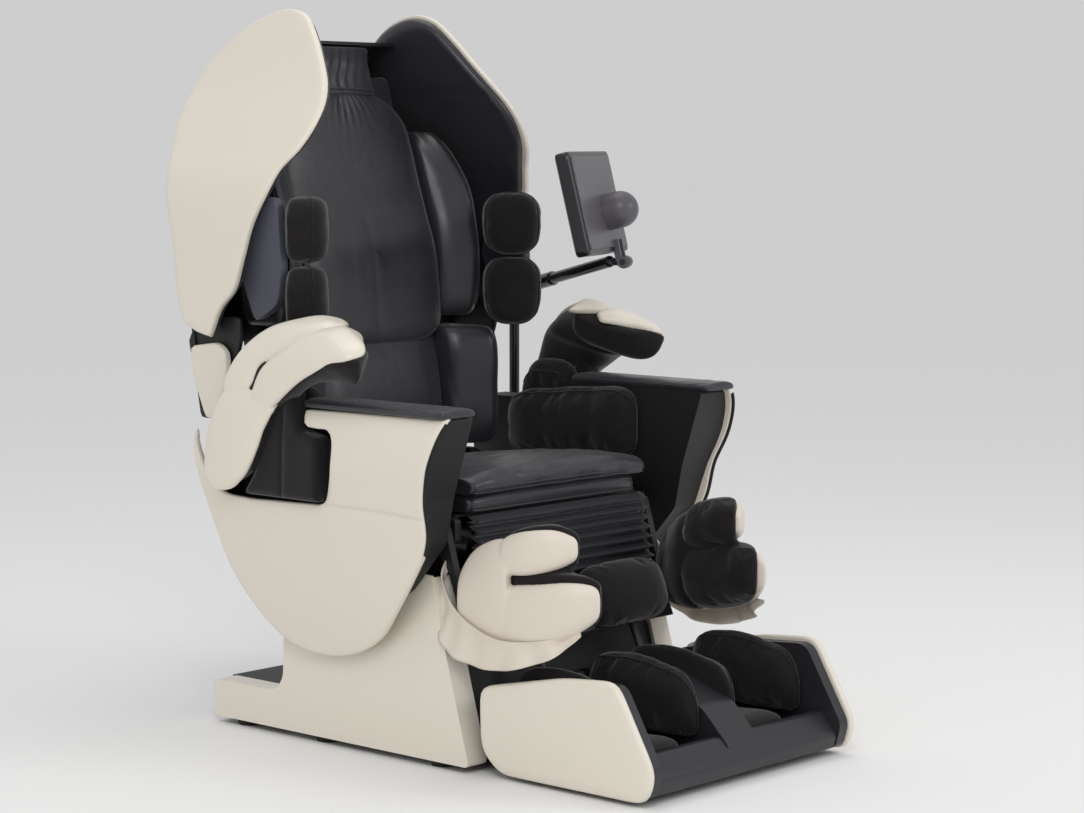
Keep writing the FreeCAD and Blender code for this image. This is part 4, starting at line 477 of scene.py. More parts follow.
def stack(name, sections, material, along=72, around=56, end=8.0, wrinkle=0.0, seed=1, slow=(3, 14),
          folds=None):
    """A closed grid surface through closed sections: C(u) + (R(u, v) - C(u)) * taper(u).

    R runs smoothly through the sections and C is their middle, so both ends close with a rounded cap.
    Wrinkles add slow sine sums square to the middle line, and folds adds its own height in mm at (u, v).
    """
    keys = np.array([even_line(section, count=around, closed=True) for section in sections])
    rings = smooth_line(keys, along, ease=True)
    middle = rings.mean(1, keepdims=True)
    spread = rings - middle
    u = np.sin(np.linspace(-1, 1, along) * np.pi / 2)[:, None]
    v = np.linspace(0, 2 * np.pi, around, endpoint=False)[None, :]
    heights = []
    if wrinkle:
        rand = np.random.default_rng(seed)
        waves = [np.sin(u * rand.uniform(*slow) + v * rand.integers(1, 5) + rand.uniform(0, 6.3))
                 for _ in range(5)]
        heights.append(wrinkle * sum(waves) / 5)
    if folds:
        heights.append(folds(u, v))
    for height in heights:
        size = np.linalg.norm(spread, axis=2, keepdims=True)
        spread = spread * (1 + height[..., None] / np.maximum(size, 6))
    verts = (middle + spread * taper(u, end)[..., None]).reshape(-1, 3)
    return new_object(name, verts, grid_faces(along, around), material)


def pad_axes(rows):
    """Rows of (middle, across, out, width, rise) as arrays, with across and out at length 1."""
    return [(np.asarray(middle, float), unit(across), unit(out), width, rise)
            for middle, across, out, width, rise in rows]


def pad_sections(rows, square=2.6, back=0.12):
    """Closed D-shaped sections from rows of (middle, across, out, width, rise).

    With c and s the cosine and sine raised to 2 / square and their signs kept, a point is
    middle + across * width / 2 * c + out * rise * s, and s is multiplied by back where it is negative.
    """
    t = np.linspace(0, 2 * np.pi, 72, endpoint=False)[:, None]
    c, s = (np.sign(wave) * np.abs(wave) ** (2 / square) for wave in (np.cos(t), np.sin(t)))
    s = np.where(s > 0, s, s * back)
    return [middle + across * width / 2 * c + out * rise * s
            for middle, across, out, width, rise in pad_axes(rows)]


def limb_rows(rows, depth, rises, way=1):
    """Pad rows from the two edge points of an arm unit at each height; way is -1 for a pad inside it."""
    rear, front = (np.array(edge, float) for edge in zip(*rows))
    middle, across = (rear + front) / 2, unit(rear - front)
    out = unit(np.cross(np.gradient(middle, axis=0), across))
    width = np.linalg.norm(rear - front, axis=1)
    return list(zip(middle - out * depth, across, out * way, width, rises))

# %% Skins and sewn lines
def regrid(obj, voxel):
    """Adds a remesh into even squares of the voxel's size, in millimetres."""
    grid = obj.modifiers.new("grid", "REMESH")
    grid.mode = "VOXEL"
    grid.voxel_size = voxel * MM


def joined(name, pieces, material, voxel=3.0, rounds=6):
    """Closed pieces grown into one skin: a voxel remesh of them all, then Laplacian smoothing."""
    made = linked(name, merged(bpy.data.meshes.new(name), pieces))
    regrid(made, voxel)
    relax = made.modifiers.new("relax", "LAPLACIANSMOOTH")
    relax.iterations = rounds
    relax.lambda_factor = 0.6
    return baked(made, material)


def baked(obj, material):
    """The object with its modifiers applied, smooth shaded and with one material."""
    graph = bpy.context.evaluated_depsgraph_get()
    mesh = bpy.data.meshes.new_from_object(obj.evaluated_get(graph))
    obj.modifiers.clear()
    obj.data = smoothed(mesh)
    mesh.materials.clear()
    mesh.materials.append(material)
    return obj


def mesh_points(obj):
    """Vertices and their normals, in millimetres."""
    mesh = obj.data
    points, normals = np.empty(len(mesh.vertices) * 3), np.empty(len(mesh.vertices) * 3)
    mesh.vertices.foreach_get("co", points)
    mesh.vertices.foreach_get("normal", normals)
    return points.reshape(-1, 3) / MM, normals.reshape(-1, 3)


def set_points(obj, points):
    """Moves the vertices to the points, in millimetres."""
    obj.data.vertices.foreach_set("co", (np.asarray(points) * MM).ravel())
    obj.data.update()


def crease(obj, lines, depth, width):
    """Sinks the surface along sewn lines: p - n * depth * exp(-(d / width) ** 2)."""
    points, normals = mesh_points(obj)
    for line in lines:
        low, high = line.min(0) - 4 * width, line.max(0) + 4 * width
        near = np.flatnonzero(((points > low) & (points < high)).all(1))
        away = distance_to(points[near], line, closed=False)
        points[near] -= normals[near] * (depth * np.exp(-(away / width) ** 2))[:, None]
    set_points(obj, points)


def piped(obj, rows, level, square, end, radius):
    """Adds a piping to a pad: the loop where its sections reach the level, laid on its surface."""
    keys = []
    for middle, across, out, width, rise in pad_axes(rows):
        half = across * width / 2 * (1 - level ** square) ** (1 / square)
        edge = middle + out * rise * level
        keys.append([edge + half, edge - half, middle + out * rise * 0.45])
    keys = smooth_line(np.array(keys), 70, ease=True)
    u = np.sin(np.linspace(-1, 1, 70) * np.pi / 2)[:, None, None]
    edges = keys[:, 2:] + (keys[:, :2] - keys[:, 2:]) * taper(u, end)
    corded(obj, np.vstack([edges[1:-1, 0], edges[-2:0:-1, 1]]), radius)


def corded(obj, line, radius, closed=True):
    """Lays a cord along the surface of a piece and makes it part of the piece."""
    points, _ = mesh_points(obj)
    tree = BVHTree.FromPolygons(points.tolist(), [tuple(face.vertices) for face in obj.data.polygons])
    laid = []
    for place in even_line(line, 5, closed=closed):
        spot, normal, _, _ = tree.find_nearest(Vector(place))
        laid.append(np.array(spot) + np.array(normal) * radius * 0.3)
    laid = np.array(laid)
    for _ in range(3):
        inner = (laid + (np.roll(laid, 1, axis=0) + np.roll(laid, -1, axis=0)) / 2) / 2
        laid = inner if closed else np.vstack([laid[:1], inner[1:-1], laid[-1:]])
    cord = tube(obj.name + "_cord", laid, radius, obj.data.materials[0], sides=7, closed=closed)
    merged(obj.data, [cord])

# %% [markdown]
# ### Air in the pads
#
# A blown-up pad bulges where its cloth is free and puckers along its seams. A short cloth simulation
# with air pressure inside gives that. Each pad is held where it's sewn down, and no point moves further
# than a cap, so that pads that stand close together still clear each other.

# %% Air
AIR_FRAMES = 20


def puffed(pads, cap):
    """Blows pads up as cloth with air inside: each pad comes with the function of its free vertices."""
    started = []
    for obj, free in pads:
        material = obj.data.materials[0]
        regrid(obj, 5)
        baked(obj, material)
        points, normals = mesh_points(obj)
        held = obj.vertex_groups.new(name="held")
        held.add(np.flatnonzero(~free(points, normals)).tolist(), 1.0, "REPLACE")
        cloth = obj.modifiers.new("air", "CLOTH")
        cloth.settings.vertex_group_mass = "held"
        cloth.settings.use_pressure = True
        cloth.settings.uniform_pressure_force = 4
        cloth.settings.effector_weights.gravity = 0
        cloth.settings.shrink_min = -0.03
        cloth.settings.bending_stiffness = 0.3
        cloth.point_cache.frame_end = AIR_FRAMES
        started.append((obj, points, material))
    for number in range(1, AIR_FRAMES + 1):
        bpy.context.scene.frame_set(number)
    graph = bpy.context.evaluated_depsgraph_get()
    for obj, points, material in started:
        blown, _ = mesh_points(obj.evaluated_get(graph))
        step = blown - points
        step *= np.minimum(1, cap / np.maximum(np.linalg.norm(step, axis=1), 1e-6))[:, None]
        obj.modifiers.clear()
        obj.vertex_groups.clear()
        set_points(obj, points + step)
        finer = obj.modifiers.new("finer", "SUBSURF")
        finer.levels = finer.render_levels = 1
        baked(obj, material)
    bpy.context.scene.frame_set(1)


def before(out, base, margin):
    """The vertices that lie ahead of a plane through the base, square to out."""
    return lambda points, normals: (points - base) @ unit(out) > margin


def place(obj, body, nodes=(), slot=None, fill=None):
    """Puts a piece on its body, in place of CAD nodes; slot and fill are not used."""
    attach(obj, body)
    if nodes:
        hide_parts(*nodes)


SIDES = (("right", -1), ("left", 1))
print("tools ready")

# %% [markdown]
# ## Cream side panels
#
# Each side is one big vacuum-formed panel with a fin at the rear and a notch where the arm unit stands.
# A parting seam crosses it at the height of the notch, and a black piping closes its front edge. A plain
# grid can't follow the notch, and a boolean cut would leave a hard rim, so the outline is filled with
# triangles, lifted onto the front profile and rounded at its rim.

# %% Side panels
PANEL_PROFILE = profile([(312, 160), (336, 250), (364, 370), (388, 470), (402, 535), (392, 585), (368, 622)])
PANEL_TOP = [(-224, 610), (-60, 608.5), (111, 606)]
PANEL_NOTCH = [(111, 606), (98, 580), (70, 576), (40, 574), (30, 566), (26, 550), (33, 509), (48, 473),
               (58, 450)]
PANEL_FIN = [(70, 445), (180, 442), (282, 441), (326, 446), (352, 470), (366, 515), (374, 556)]
PANEL_REAR = [(374, 556), (383, 480), (370, 407), (339, 298), (289, 230), (237, 186), (150, 167), (82, 173),
              (-9, 213), (-77, 282), (-151, 370)]
PANEL_BROW = [(-151, 370), (-168, 406), (-177, 476), (-190, 511), (-208, 561), (-224, 610)]
PANEL_PARTS = ((PANEL_TOP, 8), (PANEL_NOTCH, 30), (PANEL_FIN, 30), (PANEL_REAR, 90), (PANEL_BROW, 30))
PANEL_OUTLINE = np.vstack([smooth_line(part, count)[:-1] for part, count in PANEL_PARTS])
PANEL_SEAM = [(58, 446), (-20, 446), (-100, 444), (-178, 440)]
PANEL_WALL = 12
PIPING_RADIUS = 3.2

brow = smooth_line(PANEL_BROW, 60)[2:-2]
for side, sign in SIDES:
    panel = shell("side_panel_skin_" + side, PANEL_OUTLINE, PANEL_PROFILE, PANEL_WALL, cream_lacquer, sign,
                  rim=5, spacing=12, seams=[PANEL_SEAM], groove=(1.6, 2.2))
    place(panel, "cradle", ["side_panel_" + side], "cream_shell")
    line = np.column_stack([sign * (PANEL_PROFILE(0, brow[:, 1]) - 7), brow[:, 0] - 1.5, brow[:, 1]])
    piping = tube("side_panel_piping_" + side, line, PIPING_RADIUS, black_rubber)
    place(piping, "cradle", slot="black_plastic")
print("side panels:", len(PANEL_OUTLINE), "outline points")

# %% [markdown]
# ## Hoods
#
# The head end is framed by two cream hoods. They lean inwards with height, so the width comes from a
# front profile and the outline from the side view. Their lining is padded black leather. Both are made
# as the side panels are, because that keeps the rim even all round; the lining only has a softer one.

# %% Hoods and linings
HOOD_BROW = [(372, 716), (348, 768), (320, 796), (301, 851), (279, 916), (252, 968), (235, 1012), (212, 1046),
             (200, 1090), (204, 1128), (220, 1160), (253, 1205), (292, 1254), (329, 1289), (368, 1300)]
HOOD_REAR = [(368, 1300), (438, 1288), (499, 1256), (549, 1211), (575, 1150), (566, 1091), (536, 1028),
             (510, 956), (488, 885), (469, 796), (446, 740)]
HOOD_PROFILE = profile([(370, 700), (368, 724), (364, 768), (360, 801), (356, 851), (352, 916), (345, 968),
                        (327, 1012), (304, 1046), (275, 1090), (251, 1125), (228, 1160), (206, 1205),
                        (187, 1254), (174, 1289), (168, 1312)])
HOOD_OUTLINE = np.vstack([smooth_line(HOOD_BROW + HOOD_REAR[1:], 220), [(410, 724)]])
HOOD_EDGE = even_line(HOOD_OUTLINE, 8, closed=True)
LINING_OUTLINE = rounded(HOOD_EDGE + inward(HOOD_EDGE) * 7, 10, 160)
LINING_SEAMS = [[(240, 1150), (330, 1152), (450, 1160), (550, 1170)], [(300, 960), (400, 968), (500, 975)]]
LINING_INSET = 33

for side, sign in SIDES:
    hood = shell("hood_skin_" + side, HOOD_OUTLINE, HOOD_PROFILE, 14, cream_lacquer, sign, rim=6, back_rim=4,
                 spacing=12)
    place(hood, "back", ["hood_" + side], "cream_shell")
    lining = shell("hood_lining_" + side, LINING_OUTLINE, lambda y, z: HOOD_PROFILE(y, z) - LINING_INSET, 20,
                   black_leather, sign, facing=-1, rim=15, back_rim=2, spacing=12, seams=LINING_SEAMS,
                   groove=(5, 5), dome=lambda distance: 4 * (1 - np.exp(-distance / 40)))
    place(lining, "back", ["hood_liners"], "black_leather", 0.5)
print("hoods done")

# %% Low side covers and the frames behind them
LOW_COVER = rounded([(372, 572), (402, 566), (434, 636), (444, 696), (372, 706), (347, 690),
                     (345, 640)], 16, 90)
SIDE_FRAME = rounded([(468, 704), (450, 640), (436, 566), (384, 566), (352, 640), (326, 712), (330, 752),
                      (440, 748)], 12, 90)
for side, sign in SIDES:
    cover = shell("low_side_cover_skin_" + side, LOW_COVER, upright(352), 15, cream_lacquer, sign, rim=5,
                  spacing=10)
    place(cover, "back", ["low_side_covers"], "cream_shell")
for side, sign in SIDES:
    behind = shell("back_side_frame_" + side, SIDE_FRAME, upright(334), 10, black_abs, sign, rim=3,
                   spacing=10)
    place(behind, "back", slot="black_plastic")
print("low covers done")

# %% [markdown]
# ## Arm units
#
# Each armrest carries a shoulder-high unit that parts into two fingers, and its air pads hug the upper
# arm. The skin could be pulled from one subdivided cage, but its fork is hard to place that way. It is
# grown from three rounded limbs instead, so that the fork has a soft web as on a moulding.

# %% Arm units
ARM_FOOT = [((-420, 316, 452), (-420, 254, 458)), ((-426, 325, 482), (-426, 219, 488)),
            ((-428, 323, 523), (-428, 188, 534)), ((-428, 312, 566), (-428, 167, 576)),
            ((-427, 295, 604), (-425, 148, 604)), ((-422, 274, 646), (-416, 132, 626))]
REAR_FINGER = [((-425, 284, 622), (-424, 200, 640)), ((-421, 269, 662), (-416, 188, 676)),
               ((-412, 246, 700), (-413, 158, 695)), ((-400, 228, 722), (-410, 132, 712)),
               ((-386, 192, 746), (-402, 104, 730)), ((-366, 146, 760), (-390, 78, 742)),
               ((-338, 112, 766), (-362, 54, 748)), ((-310, 102, 760), (-334, 60, 746)),
               ((-282, 102, 748), (-300, 86, 742))]
FRONT_FINGER = [((-424, 212, 622), (-426, 152, 602)), ((-417, 184, 676), (-428, 118, 632)),
                ((-412, 140, 705), (-428, 77, 660)), ((-404, 109, 727), (-428, 45, 676)),
                ((-393, 82, 742), (-425, 10, 692)), ((-376, 62, 751), (-412, -32, 706)),
                ((-356, 54, 753), (-382, -40, 714)), ((-338, 56, 750), (-346, -4, 722)),
                ((-322, 62, 744), (-306, 38, 730))]
ARM_PAD = [((-420, 310, 458), (-420, 260, 462)), ((-426, 320, 484), (-426, 223, 490)),
           ((-428, 318, 523), (-428, 193, 534)), ((-428, 307, 566), (-428, 172, 576)),
           ((-427, 290, 604), (-428, 156, 604)), ((-421, 268, 650), (-429, 112, 634)),
           ((-410, 240, 705), (-430, 70, 662)), ((-396, 212, 732), (-430, 28, 682)),
           ((-376, 165, 750), (-424, -18, 698)), ((-350, 125, 756), (-400, -44, 706)),
           ((-322, 108, 756), (-355, -26, 712)), ((-292, 100, 748), (-318, 12, 716))]
ARM_PAD_DEPTH = [38, 40, 41, 42, 43, 46, 52, 58, 58, 58, 55, 46]
ARM_SEAM = [(-428, 292, 598), (-438, 240, 606), (-440, 190, 622), (-438, 140, 640), (-430, 112, 640)]
GUSSET = rounded([(60, 450), (252, 450), (222, 488), (198, 534), (180, 574), (172, 600), (150, 640),
                  (122, 640), (118, 612), (106, 570), (60, 560)], 8, 90)
ARM_LIMBS = (ARM_FOOT, REAR_FINGER, FRONT_FINGER)
ARM_SKIN_RISE = 15
GUSSET_SEAM = [(150, 446), (146, 560), (140, 640)]
ARM_RIDGE = [(front[0] + 6, front[1], front[2] - 24) for _, front in ARM_PAD[4:]] + [(-300, 50, 706)]

for side, sign in SIDES:
    mirror = (-sign, 1, 1)
    limbs = []
    for rows in ARM_LIMBS:
        sections = pad_sections(limb_rows(rows, 11, [ARM_SKIN_RISE] * len(rows)), 2.9, 0.06)
        limbs.append(stack("limb", [s * mirror for s in sections], cream_lacquer, along=60, end=7))
    skin = joined("arm_hood_skin_" + side, limbs, cream_lacquer, voxel=2.4, rounds=8)
    crease(skin, [smooth_line(np.array(ARM_SEAM) * mirror, 60)], depth=2.0, width=2.4)
    place(skin, "cradle", ["arm_hood_" + side], "cream_shell")
    sections = pad_sections(limb_rows(ARM_PAD, 12, ARM_PAD_DEPTH, -1), 3.4, 0.1)
    core = stack("arm_pad_core", [s * mirror for s in sections], black_knit, along=90, end=9, wrinkle=1.0,
                 seed=4)
    gusset = shell("gusset", GUSSET, upright(402), 36, black_knit, sign, rim=10, spacing=8,
                   seams=[GUSSET_SEAM], groove=(3, 3))
    pad = joined("arm_air_pad_" + side, [core, gusset], black_knit, voxel=3, rounds=3)
    crease(pad, [smooth_line(np.array(ARM_RIDGE) * mirror, 80)], depth=2.4, width=3)
    place(pad, "cradle", ["arm_pads"], "black_fabric", 0.8)
print("arm units done")

# %% Armrest, hip and elbow pads
HIP_PAD = [(-62, 540, 108, 0.45), (-48, 541, 122, 0.8), (40, 539, 132, 1.0), (140, 531, 130, 1.0),
           (236, 523, 116, 0.8), (258, 521, 96, 0.4)]
HIP_X, HIP_RISE = 299.8, 32
ELBOW_PAD = [(118, 40, 0.4), (134, 48, 0.8), (180, 52, 1.0), (222, 52, 0.9), (248, 44, 0.5)]
ELBOW_X, ELBOW_FLOOR, ELBOW_RISE = 333, 572.6, 74
ARMREST_X, ARMREST_FLOOR, ARMREST_WIDTH, ARMREST_RISE = 344, 611, 84, 14.5


def nose_folds(u, v):
    """Creases near the front end of an armrest pad: 0.9 exp(-((u + 0.8) / 0.25) ** 2) sin(26 u + 9 sin v)."""
    return 0.9 * np.exp(-((u + 0.8) / 0.25) ** 2) * np.sin(26 * u + 9 * np.sin(v))


for side, sign in SIDES:
    rows = [((sign * ARMREST_X, y, ARMREST_FLOOR), (1, 0, 0), (0, 0, 1), ARMREST_WIDTH, ARMREST_RISE)
            for y in np.linspace(-222, 111, 6)]
    pad = stack("armrest_pad_" + side, pad_sections(rows, 3.0), black_leather, along=110, end=16, wrinkle=0.4,
                seed=2, folds=nose_folds)
    piped(pad, rows, level=0.35, square=3.0, end=16, radius=1.4)
    place(pad, "cradle", ["armrest_pads"], "black_leather", 0.6)
    hip_rows = [((sign * HIP_X, y, z), (0, 0, 1), (-sign, 0, 0), wide, HIP_RISE * full)
                for y, z, wide, full in HIP_PAD]
    hip = stack("hip_air_pad_" + side, pad_sections(hip_rows, 3.4), black_knit, end=9, wrinkle=1.0, seed=6)
    elbow_rows = [((sign * ELBOW_X, y, ELBOW_FLOOR), (1, 0, 0), (0, 0, 1), wide, ELBOW_RISE * full)
                  for y, wide, full in ELBOW_PAD]
    elbow = stack("elbow_air_pad_" + side, pad_sections(elbow_rows, 2.8), black_knit, end=6, wrinkle=1.0,
                  seed=8)
    puffed([(hip, before((-sign, 0, 0), (sign * 300, 0, 0), 14)),
            (elbow, before((0, 0, 1), (0, 0, 573), 24))], cap=7)
    piped(hip, hip_rows, level=0.72, square=3.4, end=9, radius=2.2)
    piped(elbow, elbow_rows, level=0.7, square=2.8, end=6, radius=1.6)
    place(hip, "cradle", ["side_pads"], "black_fabric", 0.8)
    place(elbow, "cradle", ["side_pads"], "black_fabric", 0.8)
print("side pads done")

# %% [markdown]
# ## Seat
#
# A foam cushion sits in the pan. A loose leather flap lies over it and rolls down over the front edge,
# and below it a pleated skirt closes the gap to the legrest. The flap is sewn to shape and doesn't drape
# freely, so its side outline is carried across the seat, with sine sums as its creases, and no cloth
# simulation is needed.

# %% Seat cushion and flap
SEAT_SIDE = rounded([(-127, 430), (232, 430), (232, 480), (-100, 480), (-127, 462)], 9)
FLAP_SIDE = rounded([(-141, 466), (-104, 463), (188, 466), (188, 485), (60, 499), (-60, 508), (-122, 507),
                     (-143, 492)], 11)


def across_seat(outline, half, drop):
    """The side outline at nine even x places; a point sinks by drop * |x / half| ** 4 * its height share."""
    low, high = outline[:, 1].min(), outline[:, 1].max()
    share = (outline[:, 1] - low) / (high - low)
    return [np.column_stack([np.full(len(outline), x), outline[:, 0],
                             outline[:, 1] - drop * share * abs(x / half) ** 4])
            for x in np.linspace(-half, half, 9)]


def front_cord(piece, half, y, z, radius):
    """A level cord across the front of a seat piece."""
    line = np.column_stack([np.linspace(-half, half, 40), np.full(40, y), np.full(40, z)])
    corded(piece, line, radius, closed=False)


def flap_folds(u, v):
    """Slanting creases over the front third of the flap; u runs across the seat and v round its section."""
    nose = np.exp(-((v - 5.3) / 0.8) ** 2) * (1 - u ** 6)
    slow = np.sin(6 * u + 13 * v + 2 * np.sin(3 * u))
    return nose * (2.4 * slow + 1.5 * np.sin(11 * u - 17 * v + 2) + 0.7 * np.sin(21 * u + 24 * v))


cushion = stack("seat_foam_cushion", across_seat(SEAT_SIDE, 221, 14), black_leather, end=22)
for z in (434, 456):
    front_cord(cushion, 214, -129, z, 1.8)
place(cushion, "cradle", ["seat_cushion"], "black_leather", 0.8)
flap = stack("seat_flap_cover", across_seat(FLAP_SIDE, 229, 16), black_leather, along=160, around=150, end=30,
             wrinkle=1.6, seed=12, slow=(8, 40), folds=flap_folds)
for y, z in ((-143, 474), (-139, 466)):
    front_cord(flap, 222, y, z, 1.6)
place(flap, "cradle", ["seat_flap"], "black_leather", 0.5)
print("seat done")

# %% Pleated skirt
SKIRT_FOLDS = 7
SKIRT_HALF = 225
SKIRT_THICK = 2.4


def pleats(rows=12, columns=40):
    """x across, and down the skirt y = y0 - 23 t - 18 * tip(t), where tip is a rounded saw of the folds."""
    t = np.linspace(0, 1, SKIRT_FOLDS * rows + 1)[:, None]
    tip = 1 - (np.abs((t * SKIRT_FOLDS) % 1 - 0.5) * 2) ** 1.3
    x = np.linspace(-SKIRT_HALF, SKIRT_HALF, columns)[None, :]
    y = -128 - 23 * t - 18 * tip + 1.2 * np.sin(x / 37) * tip
    z = 427 - 122 * t - 2 * np.sin(t * SKIRT_FOLDS * 2 * np.pi)
    front = np.stack(np.broadcast_arrays(x, y, z), -1)
    return thick_sheet(front, front + (0, SKIRT_THICK, 0))


skirt = new_object("seat_skirt", *pleats(), black_leather)
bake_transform(skirt)
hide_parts("seat_bellows")
print("skirt:", SKIRT_FOLDS, "folds")

# %% [markdown]
# ## Calf unit
#
# Each side of the calf unit is a cream cover with an upper and a lower lobe that curl inwards. The air
# pads inside follow the same lobes, and two rests lie on the slanted plate. The lobes are joined into one
# skin, as foam under one cover is, and the gathered hem below is a sheet between two lines. The foot unit
# has a cream panel on each side, and every well holds two air pads and a sole pad.

# %% Calf unit
CALF_BASE = [(268, -158, 0, 288, 118), (268, -186, 0, 300, 160), (268, -225, 4, 309, 184),
             (266, -266, 12, 313, 194)]
CALF_UPPER = [(266, -250, 10, 378, 66), (257, -300, 28, 386, 74), (235, -335, 52, 392, 66),
              (208, -350, 72, 393, 46)]
CALF_LOWER = [(266, -250, 10, 274, 110), (260, -312, 22, 282, 106), (240, -370, 42, 296, 92),
              (212, -405, 64, 308, 64)]
CALF_SEAM = [(292, -206, 400), (300, -216, 352), (302, -232, 300), (300, -250, 250), (296, -262, 205)]
CALF_PADS = [(CALF_BASE, (37, 37, 54, 60)),
             ([(266, -250, 10, 374, 88), (257, -300, 28, 382, 96), (238, -338, 50, 388, 92),
               (206, -366, 70, 391, 62)], (60, 62, 58, 44)),
             ([(266, -250, 10, 284, 128), (260, -312, 22, 290, 124), (240, -372, 42, 301, 110),
               (208, -416, 62, 311, 78)], (60, 62, 56, 42))]
CALF_COVER_RISE = 22


def calf_sections(rows, sign, outward, rises, narrower=0, inset=0.0):
    """D sections of a calf lobe; outward is 1 for the cover and -1 for the pad inside it."""
    made = []
    for (x, y, turn, z, width), rise in zip(rows, rises):
        angle = math.radians(turn)
        out = np.array([sign * math.cos(angle), -math.sin(angle), 0]) * outward
        made.append(((sign * (x - inset), y, z), (0, 0, 1), out, width - narrower, rise))
    return pad_sections(made, square=2.8, back=0.05)


print("calf lobes:", len(CALF_PADS))

# %% Hem of the calf covers
HEM_TOP = [(250, -112, 372), (282, -120, 336), (291, -150, 290), (294, -205, 256), (291, -262, 240),
           (280, -315, 242), (262, -358, 250), (238, -392, 262)]
HEM_LOW = [(262, -98, 330), (286, -104, 268), (294, -138, 214), (297, -200, 190), (294, -264, 189),
           (285, -320, 202), (265, -364, 222), (240, -396, 256)]
HEM_THICK = 2


def hem(sign, columns=150, rows=14):
    """The gathered hem under a calf cover: a ruled band between two lines, plus gathers along it.

    At (s, t) a gather stands out 4 t ** 0.7 * (sin(29 s + 2 sin 7 s) + 0.7 sin(53 s + 3 sin 5 s)) mm, and
    the band bulges 7 sin(pi t) mm between its lines.
    """
    top, low = smooth_line(HEM_TOP, columns), smooth_line(HEM_LOW, columns)
    out = unit(np.cross(np.gradient(low, axis=0), (0, 0, 1)))[:, None]
    s = np.linspace(0, 1, columns)[:, None, None]
    t = np.linspace(0, 1, rows)[None, :, None]
    wave = 4 * t ** 0.7 * (np.sin(29 * s + 2 * np.sin(7 * s)) + 0.7 * np.sin(53 * s + 3 * np.sin(5 * s)))
    band = top[:, None] * (1 - t) + low[:, None] * t + out * (wave + 7 * np.sin(np.pi * t))
    points, faces = thick_sheet(band, band - out * HEM_THICK)
    return points * (sign, 1, 1), faces


print("hem:", len(HEM_TOP), "points along its top")

# %% Calf covers, pads and rests
SLIDE_LEAN = math.radians(24)
SLIDE_DOWN = np.array([0, -math.sin(SLIDE_LEAN), -math.cos(SLIDE_LEAN)])
SLIDE_AHEAD = np.array([0, -math.cos(SLIDE_LEAN), math.sin(SLIDE_LEAN)])
PLATE_AHEAD = 14.4
REST_RISES = (44, 56, 58, 52, 36)
REST_WIDTH = 204


def on_plate(distance, x):
    """A place on the slanted plate, the distance down it from its top."""
    return np.array([x, -150, 300]) + SLIDE_DOWN * distance + SLIDE_AHEAD * PLATE_AHEAD


for side, sign in SIDES:
    lobes = [stack("lobe", calf_sections(rows, sign, 1, [CALF_COVER_RISE] * 4), cream_leather, along=60,
                   end=7) for rows in (CALF_BASE, CALF_UPPER, CALF_LOWER)]
    cover = joined("calf_cover_skin_" + side, lobes, cream_leather, voxel=2.6, rounds=7)
    crease(cover, [smooth_line(np.array(CALF_SEAM) * (sign, 1, 1), 60)], depth=2.2, width=2.6)
    place(cover, "legrest", ["calf_cover_" + side], "cream_leather", 0.9)
    lobes = [stack("lobe", calf_sections(rows, sign, -1, rises, 2, 0.5), black_knit, along=60, end=6)
             for rows, rises in CALF_PADS]
    pad = joined("calf_air_pad_" + side, lobes, black_knit, voxel=3, rounds=4)
    rows = [(on_plate(50 + share * 56, sign * 102), (1, 0, 0), SLIDE_AHEAD, REST_WIDTH, rise)
            for share, rise in zip(np.linspace(-1, 1, 5), REST_RISES)]
    rest = stack("calf_rest_" + side, pad_sections(rows, 2.3), black_knit, end=5, wrinkle=1.0, seed=3)
    puffed([(rest, before(SLIDE_AHEAD, on_plate(56, 0), 12)),
            (pad, lambda p, n, sign=sign: (n[:, 0] * sign < -0.2) & (np.abs(p[:, 0]) < 246))], cap=8)
    place(pad, "legrest", ["calf_pads"], "black_fabric", 0.8)
    place(rest, "legrest", ["calf_pads"], "black_fabric", 0.7)
    edging = new_object("calf_cover_hem_" + side, *hem(sign), cream_leather)
    place(edging, "legrest", slot="cream_leather")
print("calf unit done")

# %% Foot unit
FOOT_OUTLINE = rounded([(-564, 8), (-246, 8), (-203, 44), (-200, 152), (-385, 190), (-498, 199), (-580, 58)],
                       32, 160)
FOOT_SIDE = [(-486, 104, 78, 0.4), (-468, 116, 100, 0.8), (-400, 128, 124, 1.0), (-320, 130, 128, 1.0),
             (-268, 126, 116, 0.8), (-248, 118, 96, 0.4)]
FOOT_SOLE = [(-484, 110, 0.5), (-470, 124, 0.9), (-380, 128, 1.0), (-290, 128, 1.0), (-272, 118, 0.6)]
FOOT_WALLS = (("inner", 42.4, 1), ("outer", 239.6, -1))
FOOT_RISE, SOLE_X, SOLE_FLOOR, SOLE_RISE = 30, 141, 60.6, 12

